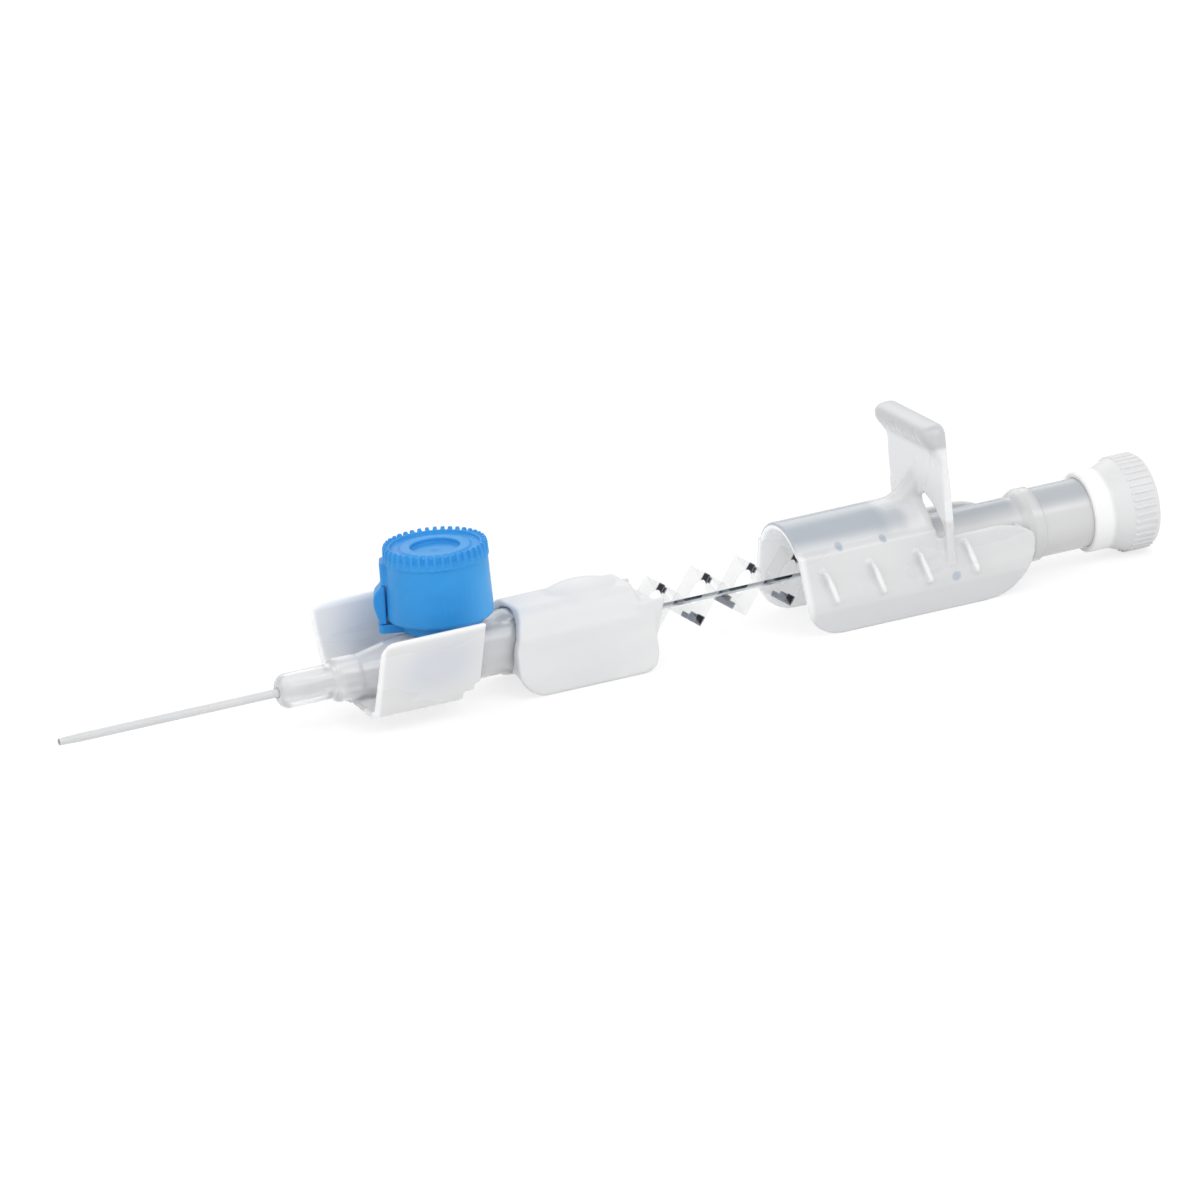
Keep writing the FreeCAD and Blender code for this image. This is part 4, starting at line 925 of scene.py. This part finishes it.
@dataclass
class PortCapSet:
    """The blue cap with its crown of teeth, its collar and the strap between them."""

    edge_round: float = 0.1
    voxel: float = 0.11
    rounds: int = 2
    port_x: float = -18.52
    strap_turn: float = 154.0
    crown: tuple[Point, ...] = ((4.75, 15.95), (5.52, 15.95), (5.58, 16.05), (5.52, 16.15), (5.28, 16.2),
                                (5.22, 17.25), (4.75, 17.35))
    teeth: int = 40
    tooth: tuple[Point, ...] = ((5.0, 16.1), (5.56, 16.1), (5.5, 17.3), (5.36, 17.62), (5.0, 17.62))
    tooth_half_width: float = 0.2
    strap_line: tuple[Point, ...] = (
        (5.62, 9.42), (6.3, 9.42), (6.62, 10.4), (6.84, 11.4), (6.86, 12.1), (6.66, 12.75), (6.2, 13.2),
        (5.96, 13.58), (5.53, 13.58), (5.58, 11.6))
    strap_half_width: float = 1.35
    strap_rounds: int = 6

    def build(self) -> None:
        """Moulds the cap anew with its teeth, dresses its collar and makes the strap."""
        dress(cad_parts["cap_collar"], BLUE)
        soften(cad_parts["cap_collar"], self.edge_round)
        place = Matrix.Translation((self.port_x * MM, 0, 0))
        shapes = [fresh_copy("port_cap")]
        crown = swept_ring(self.crown)
        crown.transform(place)
        shapes.append(crown)
        for k in range(self.teeth):
            turn = math.radians(self.strap_turn) + 2 * math.pi * k / self.teeth
            shapes.append(self.slab(self.tooth, self.tooth_half_width, place, turn))
        cap = one_skin("cap_moulding", shapes, self.voxel, self.rounds)
        stand_for(cap, "port_cap", Body.CAP, BLUE)
        band = self.slab(self.strap_line, self.strap_half_width, place, math.radians(self.strap_turn))
        strap = one_skin("strap_band", [band], self.voxel, self.strap_rounds)
        dress(strap, BLUE)
        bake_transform(strap)
        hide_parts("cap_strap")
        LOG.info("cap set built")

    @staticmethod
    def slab(outline: tuple[Point, ...], half: float, place: Matrix, turn: float) -> bmesh.types.BMesh:
        """Makes an upright slab that points away from the port's axis.

        Args:
            outline: Radii and heights, in millimetres.
            half: Half its width, in millimetres.
            place: Where the port's axis is.
            turn: The way in which it points, in radians.

        Returns:
            The closed mesh.
        """
        shape = bmesh.new()
        close_rows(shape, [[shape.verts.new((r * MM, side * half * MM, z * MM)) for r, z in outline]
                           for side in (-1, 1)])
        shape.transform(place @ Matrix.Rotation(turn, 4, "Z"))
        return shape


@dataclass
class TipGuard:
    """The white guard with the ears that hold the film, its cover and its steel clip."""

    voxel: float = 0.18
    rounds: int = 8
    ear_line: tuple[Point, ...] = ((2.2, 3.6), (2.2, 7.5), (3.6, 7.7), (5.15, 7.74), (5.2, 7.5), (3.7, 2.9))
    ear_inner: float = 3.98
    ear_outer: float = 4.42

    def build(self) -> None:
        """Moulds the housing anew with its ears and dresses the pieces in it."""
        for node, finish in (("guard_cover", GUARD_WHITE), ("guard_clip", WEDGE_STEEL)):
            dress(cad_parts[node], finish)
        shapes = [fresh_copy("guard_housing"), self.ear(-1), self.ear(1)]
        housing = one_skin("guard_moulding", shapes, self.voxel, self.rounds)
        stand_for(housing, "guard_housing", Body.GUARD, GUARD_WHITE)

    def ear(self, side: int) -> bmesh.types.BMesh:
        """Makes the plate that carries on a side wall past the guard's rear face.

        Args:
            side: -1 for the near side or 1 for the far side.

        Returns:
            The closed mesh.
        """
        shape = bmesh.new()
        rows = [[shape.verts.new((x * MM, side * y * MM, z * MM)) for x, z in self.ear_line]
                for y in (self.ear_inner, self.ear_outer)]
        close_rows(shape, rows)
        return shape


@dataclass
class ThumbRest:
    """The rolled lip on the top of the thumb fin, and the flared web that stays it from the arch."""

    fin_middle: float = 37.53
    top: float = 20.0
    lip_line: tuple[Point, ...] = (
        (37.4, 15.5), (36.66, 16.8), (36.24, 17.5), (35.86, 17.95), (35.56, 18.45), (35.44, 18.95),
        (35.48, 19.4), (35.8, 19.8), (36.4, 20.0), (37.1, 20.0), (37.75, 20.0), (38.06, 19.75),
        (38.1, 18.6), (37.8, 16.0))
    half_width: float = 6.66
    corner: float = 1.25
    corner_pinch: float = 0.55
    across_steps: int = 36
    web_foot: Point = (31.2, 10.75)
    web_head: Point = (37.3, 15.6)
    web_root: Point = (37.5, 10.3)
    web_waist: Point = (35.9, 11.3)
    web_foot_half: float = 2.5
    web_head_half: float = 0.5
    web_crown: float = 1.7
    web_flare: float = 1.6
    web_sag: float = 0.09
    web_back_share: float = 0.15
    web_back_drop: float = 0.3
    web_steps: int = 24
    web_columns: int = 13

    def lip(self) -> bmesh.types.BMesh:
        """Makes the rolled lip.

        Returns:
            The closed mesh.
        """
        shape = bmesh.new()
        rows = []
        centre = sum(point[1] for point in self.lip_line) / len(self.lip_line)
        for step in range(self.across_steps + 1):
            y = -math.cos(math.pi * step / self.across_steps) * self.half_width
            over = max(abs(y) - (self.half_width - self.corner), 0.0)
            drop = self.corner - math.sqrt(max(self.corner ** 2 - over ** 2, 0.0))
            squeeze = 1.0 - self.corner_pinch * (over / self.corner) ** 2
            row = []
            for x, z in self.lip_line:
                pinched = self.fin_middle + (x - self.fin_middle) * squeeze
                lowered = z - drop * max((z - centre) / (self.top - centre), 0.0)
                row.append(shape.verts.new((pinched * MM, y * MM, lowered * MM)))
            rows.append(row)
        close_rows(shape, rows)
        return shape

    def web(self) -> bmesh.types.BMesh:
        """Makes the web, a concave ridge that widens down to the arch.

        Returns:
            The closed mesh.
        """
        shape = bmesh.new()
        rows = []
        share = self.web_back_share
        for step in range(self.web_steps + 1):
            t = step / self.web_steps
            ridge = [(1 - t) ** 2 * a + 2 * t * (1 - t) * b + t ** 2 * c
                     for a, b, c in zip(self.web_foot, self.web_waist, self.web_head)]
            half = self.web_head_half + (self.web_foot_half - self.web_head_half) * (1 - t) ** self.web_flare
            front, back = [], []
            for column in range(self.web_columns):
                s = 2 * column / (self.web_columns - 1) - 1
                sink = self.web_crown * s * s
                way = Vector((self.web_root[0] - ridge[0], self.web_root[1] - ridge[1]))
                way = way / max(way.length, 1.0)
                x = ridge[0] + way.x * sink
                z = ridge[1] + way.y * sink - (half * s) ** 2 * self.web_sag * (1 - t)
                front.append(shape.verts.new((x * MM, half * s * MM, z * MM)))
                deep_x = x * share + self.web_root[0] * (1 - share)
                deep_z = z * share + self.web_root[1] * (1 - share) - self.web_back_drop
                back.append(shape.verts.new((deep_x * MM, half * s * MM, deep_z * MM)))
            rows.append(front + back[::-1])
        close_rows(shape, rows)
        return shape


@dataclass
class FingerGrip:
    """The clear grip with its fin, and the needle and flash chamber that it carries."""

    voxel: float = 0.18
    rounds: int = 5
    fin_rounds: int = 14
    fin_foot: float = 11.6
    lip_rounds: int = 26
    lip_foot: float = 15.2

    def build(self) -> None:
        """Moulds the grip anew with its thumb rest and dresses the pieces that it carries."""
        for node, finish in (("flash_chamber", CHAMBER_CLEAR), ("needle", STEEL), ("end_plug", PLUG_WHITE),
                             ("vent_filter", FIBRE)):
            dress(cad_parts[node], finish)
        rest = ThumbRest()
        shell = one_skin("grip_moulding", [fresh_copy("grip_shell"), rest.lip(), rest.web()], self.voxel,
                         self.rounds)
        polish(shell, self.fin_rounds, self.fin_foot)
        polish(shell, self.lip_rounds, self.lip_foot)
        stand_for(shell, "grip_shell", Body.GRIP, GRIP_CLEAR)


@dataclass(frozen=True)
class Patch:
    """A painted reflection on the film, dark or grey, by its place along a pleat and across the film."""

    run: Point
    across: Point
    odd: float | None = None


@dataclass(frozen=True)
class FilmFinish(Finish):
    """Polyester film, milky on its panels, with painted dark and grey reflections beside its folds."""

    name: str = "tether_film"
    colour: Colour = (0.86, 0.865, 0.872)
    shade: Colour = (0.78, 0.785, 0.795)
    # Colours of the painted dark and grey reflections.
    dark: Colour = (0.008, 0.01, 0.02)
    grey: Colour = (0.1, 0.135, 0.19)
    edge: float = 0.02
    clear: Point = (0.23, 0.1)
    roughness: Point = (0.1, 0.2)
    specular: float = 0.15
    cloud_scale: float = 420.0
    alike: float = 0.1
    dark_reflections: tuple[Patch, ...] = (
        Patch((0.79, 1.0), (0.4, 0.57)),
        Patch((0.84, 0.97), (0.33, 0.4)),
        Patch((0.0, 0.2), (0.0, 0.2), odd=1.0),
        Patch((0.1, 0.21), (0.57, 0.88), odd=0.0),
    )
    grey_reflections: tuple[Patch, ...] = (
        Patch((0.0, 0.18), (0.2, 0.4), odd=1.0),
        Patch((0.0, 0.11), (0.4, 0.6), odd=1.0),
        Patch((0.0, 0.13), (0.4, 0.97), odd=0.0),
    )

    def fill(self, tree: NodeTree, shader: bpy.types.Node) -> None:
        """Fills the material's tree.

        Args:
            tree: The tree.
            shader: The tree's shader.
        """
        run = tree.add("Attribute", attribute_name="film_run").outputs["Fac"]
        across = tree.add("Attribute", attribute_name="film_across").outputs["Fac"]
        share = tree.math("FRACT", tree.math("MULTIPLY", run, 0.5))
        rising = tree.math("MULTIPLY", share, 2.0)
        odd = tree.math("MODULO", tree.math("FLOOR", tree.math("MULTIPLY", run, 0.5)), 2.0)
        cloud = apply_effect(tree, Effect.CLOUD, {"Scale": self.cloud_scale})
        base = tree.mix(cloud, self.colour, self.shade)
        # Painted grey and dark reflections beside the folds, made opaque where they lie.
        grey = self.patches(tree, self.grey_reflections, rising, across, odd)
        dark = self.patches(tree, self.dark_reflections, rising, across, odd)
        marked = tree.math("MAXIMUM", dark, grey)
        seen = tree.ramp(rising, 1.0 - self.edge, 1.0 + self.edge, *self.clear)
        tree.feed(shader, {
            "Base Color": tree.mix(dark, tree.mix(grey, base, self.grey), self.dark),
            "Alpha": tree.math("MAXIMUM", marked, seen),
            "Roughness": tree.ramp(cloud, 0.0, 1.0, *self.roughness),
            "Specular IOR Level": self.specular})

    def patches(self, tree: NodeTree, patches: tuple[Patch, ...], run: bpy.types.NodeSocket,
                across: bpy.types.NodeSocket, odd: bpy.types.NodeSocket) -> bpy.types.NodeSocket:
        """Masks several patches.

        Args:
            tree: The material's tree.
            patches: The patches.
            run: The place along a pleat, from 0 to 1 on its rising panel.
            across: The place across the film, from 0 on the near side to 1.
            odd: 1 on every second pleat.

        Returns:
            The mask's socket.
        """
        mask = 0.0
        for patch in patches:
            inside = tree.math("MULTIPLY", tree.between(run, *patch.run, self.edge),
                               tree.between(across, *patch.across, self.edge))
            if patch.odd is not None:
                inside = tree.math("MULTIPLY", inside, tree.math("COMPARE", odd, patch.odd, self.alike))
            mask = tree.math("MAXIMUM", mask, inside)
        return mask


@dataclass
class TetherFilm:
    """The pleated film between the guard and the grip, holed in each panel for the needle."""

    pleats: int = 6
    pitch: float = 5.25
    rise_run: float = 3.1
    tab: float = 0.1
    width: float = 7.76
    top: float = 7.6
    bottom: float = 3.5
    thickness: float = 0.12
    hole_height: float = 5.9
    hole_half_width: float = 1.4
    hole_half_height: float = 1.1
    hole_points: int = 40
    rings: int = 5

    def build(self) -> None:
        """Makes the film and dresses it."""
        low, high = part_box("tether_strip")
        start = low.x / MM + self.tab
        folds = [(start, self.bottom)]
        for pleat in range(self.pleats):
            folds.append((start + pleat * self.pitch + self.rise_run, self.top))
            folds.append((start + (pleat + 1) * self.pitch, self.bottom))
        shape = bmesh.new()
        run = shape.verts.layers.float.new("film_run")
        across = shape.verts.layers.float.new("film_across")
        for i, (first, last) in enumerate(zip(folds, folds[1:])):
            self.panel(shape, first, last, i, run, across)
        bmesh.ops.remove_doubles(shape, verts=shape.verts, dist=self.thickness * MM / 10)
        bmesh.ops.recalc_face_normals(shape, faces=shape.faces)
        film = new_mesh("pleated_film", shape, smooth=False)
        wall = film.modifiers.new("wall", "SOLIDIFY")
        wall.thickness = self.thickness * MM
        wall.offset = 0.0
        apply_modifiers(film)
        dress(film, FilmFinish())
        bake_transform(film)
        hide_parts("tether_strip")
        LOG.info("tether film built")

    def panel(self, shape: bmesh.types.BMesh, first: Point, last: Point, index: int,
              run: object, across: object) -> None:
        """Adds one panel, as rings of faces from its hole out to its four edges.

        Args:
            shape: The mesh that is filled.
            first: Where the panel starts, along the needle and up, in millimetres.
            last: Where it ends.
            index: The panel's number from the guard.
            run: The layer that keeps the place along the film.
            across: The layer that keeps the place across it.
        """
        middle = (self.hole_height - first[1]) / (last[1] - first[1])
        half = abs(self.hole_half_height / (last[1] - first[1]))
        rings = []
        for ring in range(self.rings + 1):
            share = ring / self.rings
            loop = []
            for angle in self.angles(middle, half):
                hole = (middle + half * math.sin(angle),
                        0.5 + self.hole_half_width / self.width * math.cos(angle))
                edge = self.reach(hole, middle)
                u = hole[0] + (edge[0] - hole[0]) * share
                v = hole[1] + (edge[1] - hole[1]) * share
                vert = shape.verts.new(((first[0] + (last[0] - first[0]) * u) * MM,
                                        (v - 0.5) * self.width * MM,
                                        (first[1] + (last[1] - first[1]) * u) * MM))
                vert[run] = index + u
                vert[across] = v
                loop.append(vert)
            rings.append(loop)
        for inner, outer in zip(rings, rings[1:]):
            for k in range(len(inner)):
                n = (k + 1) % len(inner)
                shape.faces.new((inner[k], outer[k], outer[n], inner[n]))

    def angles(self, middle: float, half: float) -> list[float]:
        """Gives the directions from the hole's centre, the panel's corners among them.

        Args:
            middle: The hole's place along the panel.
            half: Half the hole's length along the panel.

        Returns:
            The angles, in radians, in order.
        """
        corners = []
        for u in (0.0, 1.0):
            for v in (0.0, 1.0):
                corners.append(math.atan2((u - middle) / half, (v - 0.5) * self.width / self.hole_half_width))
        even = [2 * math.pi * k / self.hole_points - math.pi for k in range(self.hole_points)]
        spare = math.pi / self.hole_points
        kept = [a for a in even if all(abs(a - corner) > spare for corner in corners)]
        return sorted(kept + corners)

    @staticmethod
    def reach(hole: Point, middle: float) -> Point:
        """Gives where the way from the hole's centre through a point of its rim meets the panel's edge.

        Args:
            hole: The point of the rim, along and across the panel.
            middle: The hole's place along the panel.

        Returns:
            The point on the edge.
        """
        way = (hole[0] - middle, hole[1] - 0.5)
        steps = []
        if abs(way[0]) > TINY:
            steps.append(((1.0 if way[0] > 0 else 0.0) - middle) / way[0])
        if abs(way[1]) > TINY:
            steps.append(0.5 / abs(way[1]))
        step = min(steps)
        return middle + way[0] * step, 0.5 + way[1] * step


@dataclass(frozen=True)
class Lamp:
    """A square soft lamp that points at the object, with its place and side in metres and power in watts."""

    name: str
    place: Place
    size: float
    power: float

    def build(self) -> None:
        """Makes the lamp."""
        data = bpy.data.lights.new(self.name, "AREA")
        data.shape = "SQUARE"
        data.size = self.size
        data.energy = self.power
        lamp = bpy.data.objects.new(self.name, data)
        lamp.location = self.place
        lamp.rotation_euler = (-Vector(self.place)).to_track_quat("-Z", "Y").to_euler()
        bpy.context.scene.collection.objects.link(lamp)


@dataclass
class Studio:
    """A plain pale floor, a white surround and soft lamps."""

    floor_radius: float = 1.6
    shadow_share: float = 0.3
    fade_start: float = 0.09
    fade_end: float = 0.24
    ambient: float = 1.0
    zenith: float = 0.55
    white: float = 1.07
    horizon: Point = (0.45, 0.95)
    matt: Colour = (0.95, 0.95, 0.95)
    bounce: Colour = (0.85, 0.85, 0.85)
    lamps: tuple[Lamp, ...] = (
        Lamp("key", (0.12, -0.4, 0.52), 0.42, 1.1),
        Lamp("fill", (-0.45, -0.2, 0.3), 0.36, 0.5),
        Lamp("rim", (0.1, 0.46, 0.36), 0.4, 0.5),
    )

    def build(self) -> None:
        """Makes the floor, the surround and the lamps."""
        self.floor()
        self.surround()
        for lamp in self.lamps:
            lamp.build()
        bpy.context.scene.view_settings.view_transform = "Standard"
        LOG.info("studio built")

    def floor(self) -> None:
        """Makes the floor, which is white to the eye and keeps the object's shadow."""
        shape = bmesh.new()
        bmesh.ops.create_circle(shape, cap_ends=True, segments=96, radius=self.floor_radius)
        floor = new_mesh("studio_floor", shape, smooth=False)
        made = bpy.data.materials.new("studio_floor")
        made.use_nodes = True
        made.node_tree.nodes.clear()
        tree = NodeTree(made.node_tree)
        seen = self.seen(tree)
        length = tree.add("VectorMath", operation="LENGTH")
        tree.link(tree.add("TexCoord").outputs["Object"], length.inputs[0])
        near = tree.ramp(length.outputs["Value"], self.fade_start, self.fade_end, self.shadow_share, 0.0)
        white = tree.feed(tree.add("Emission"), {"Strength": self.white})
        matt, bounced = (tree.feed(tree.add("BsdfDiffuse"), {"Color": opaque(colour)})
                         for colour in (self.matt, self.bounce))
        shown = tree.choose(near, white.outputs["Emission"], matt.outputs["BSDF"])
        out = tree.add("OutputMaterial")
        tree.link(tree.choose(seen, bounced.outputs["BSDF"], shown), out.inputs["Surface"])
        floor.data.materials.append(made)

    @staticmethod
    def seen(tree: NodeTree) -> bpy.types.NodeSocket:
        """Gives 1 for the rays that show the surround to the eye, through gloss and glass too.

        Args:
            tree: The tree that needs it.

        Returns:
            The number's socket.
        """
        path = tree.add("LightPath")
        glossy = tree.math("MAXIMUM", path.outputs["Is Camera Ray"], path.outputs["Is Glossy Ray"])
        return tree.math("MAXIMUM", glossy, path.outputs["Is Transmission Ray"])

    def surround(self) -> None:
        """Makes the white world, softer in the light that it gives than in what it shows."""
        world = bpy.data.worlds.new("studio_surround")
        bpy.context.scene.world = world
        world.use_nodes = True
        world.node_tree.nodes.clear()
        tree = NodeTree(world.node_tree)
        seen = self.seen(tree)
        parts = tree.feed(tree.add("SeparateXYZ"), {"Vector": tree.add("TexCoord").outputs["Generated"]})
        height = tree.ramp(parts.outputs["Z"], *self.horizon, 1.0, self.zenith)
        shown, light = (tree.feed(tree.add("Background"), {"Strength": strength})
                        for strength in (height, self.ambient))
        out = tree.add("OutputWorld")
        chosen = tree.choose(seen, light.outputs["Background"], shown.outputs["Background"])
        tree.link(chosen, out.inputs["Surface"])


@dataclass
class PhotoCamera:
    """The camera at the photograph's viewing angle, far enough away to show almost no perspective."""

    azimuth: float = -24.5
    elevation: float = 17.2
    roll: float = -5.0
    image_side: int = 1200
    pixels_per_mm: float = 9.6
    origin_pixel: Point = (608.3, 666.8)
    distance: float = 3.6
    sensor: float = 36.0

    def build(self) -> None:
        """Places the camera and makes it the scene's own."""
        turn = math.radians(self.azimuth)
        tilt = math.radians(self.elevation)
        back = Vector((math.sin(turn) * math.cos(tilt), -math.cos(turn) * math.cos(tilt), math.sin(tilt)))
        rolled = Matrix.Rotation(math.radians(self.roll), 3, "Z")
        facing = (-back).to_track_quat("-Z", "Y").to_matrix() @ rolled
        scale = self.pixels_per_mm / MM
        middle = self.image_side / 2
        across = (middle - self.origin_pixel[0]) / scale
        up = (self.origin_pixel[1] - middle) / scale
        aim = facing @ Vector((across, up, 0.0))
        data = bpy.data.cameras.new("photo_camera")
        data.sensor_width = self.sensor
        data.lens = self.sensor * self.distance * scale / self.image_side
        data.clip_start = self.distance / 100
        data.clip_end = self.distance * 3
        camera = bpy.data.objects.new("photo_camera", data)
        camera.matrix_world = Matrix.Translation(aim + back * self.distance) @ facing.to_4x4()
        bpy.context.scene.collection.objects.link(camera)
        bpy.context.scene.camera = camera
        LOG.info("camera set")


def main() -> None:
    """Builds the scene, sub-assembly by sub-assembly."""
    logging.basicConfig(level=logging.INFO, format="%(name)s: %(message)s")
    Studio().build()
    PhotoCamera().build()
    for part in (CatheterSet(), PortCapSet(), TipGuard(), TetherFilm(), FingerGrip()):
        part.build()


if __name__ == "__main__":
    main()
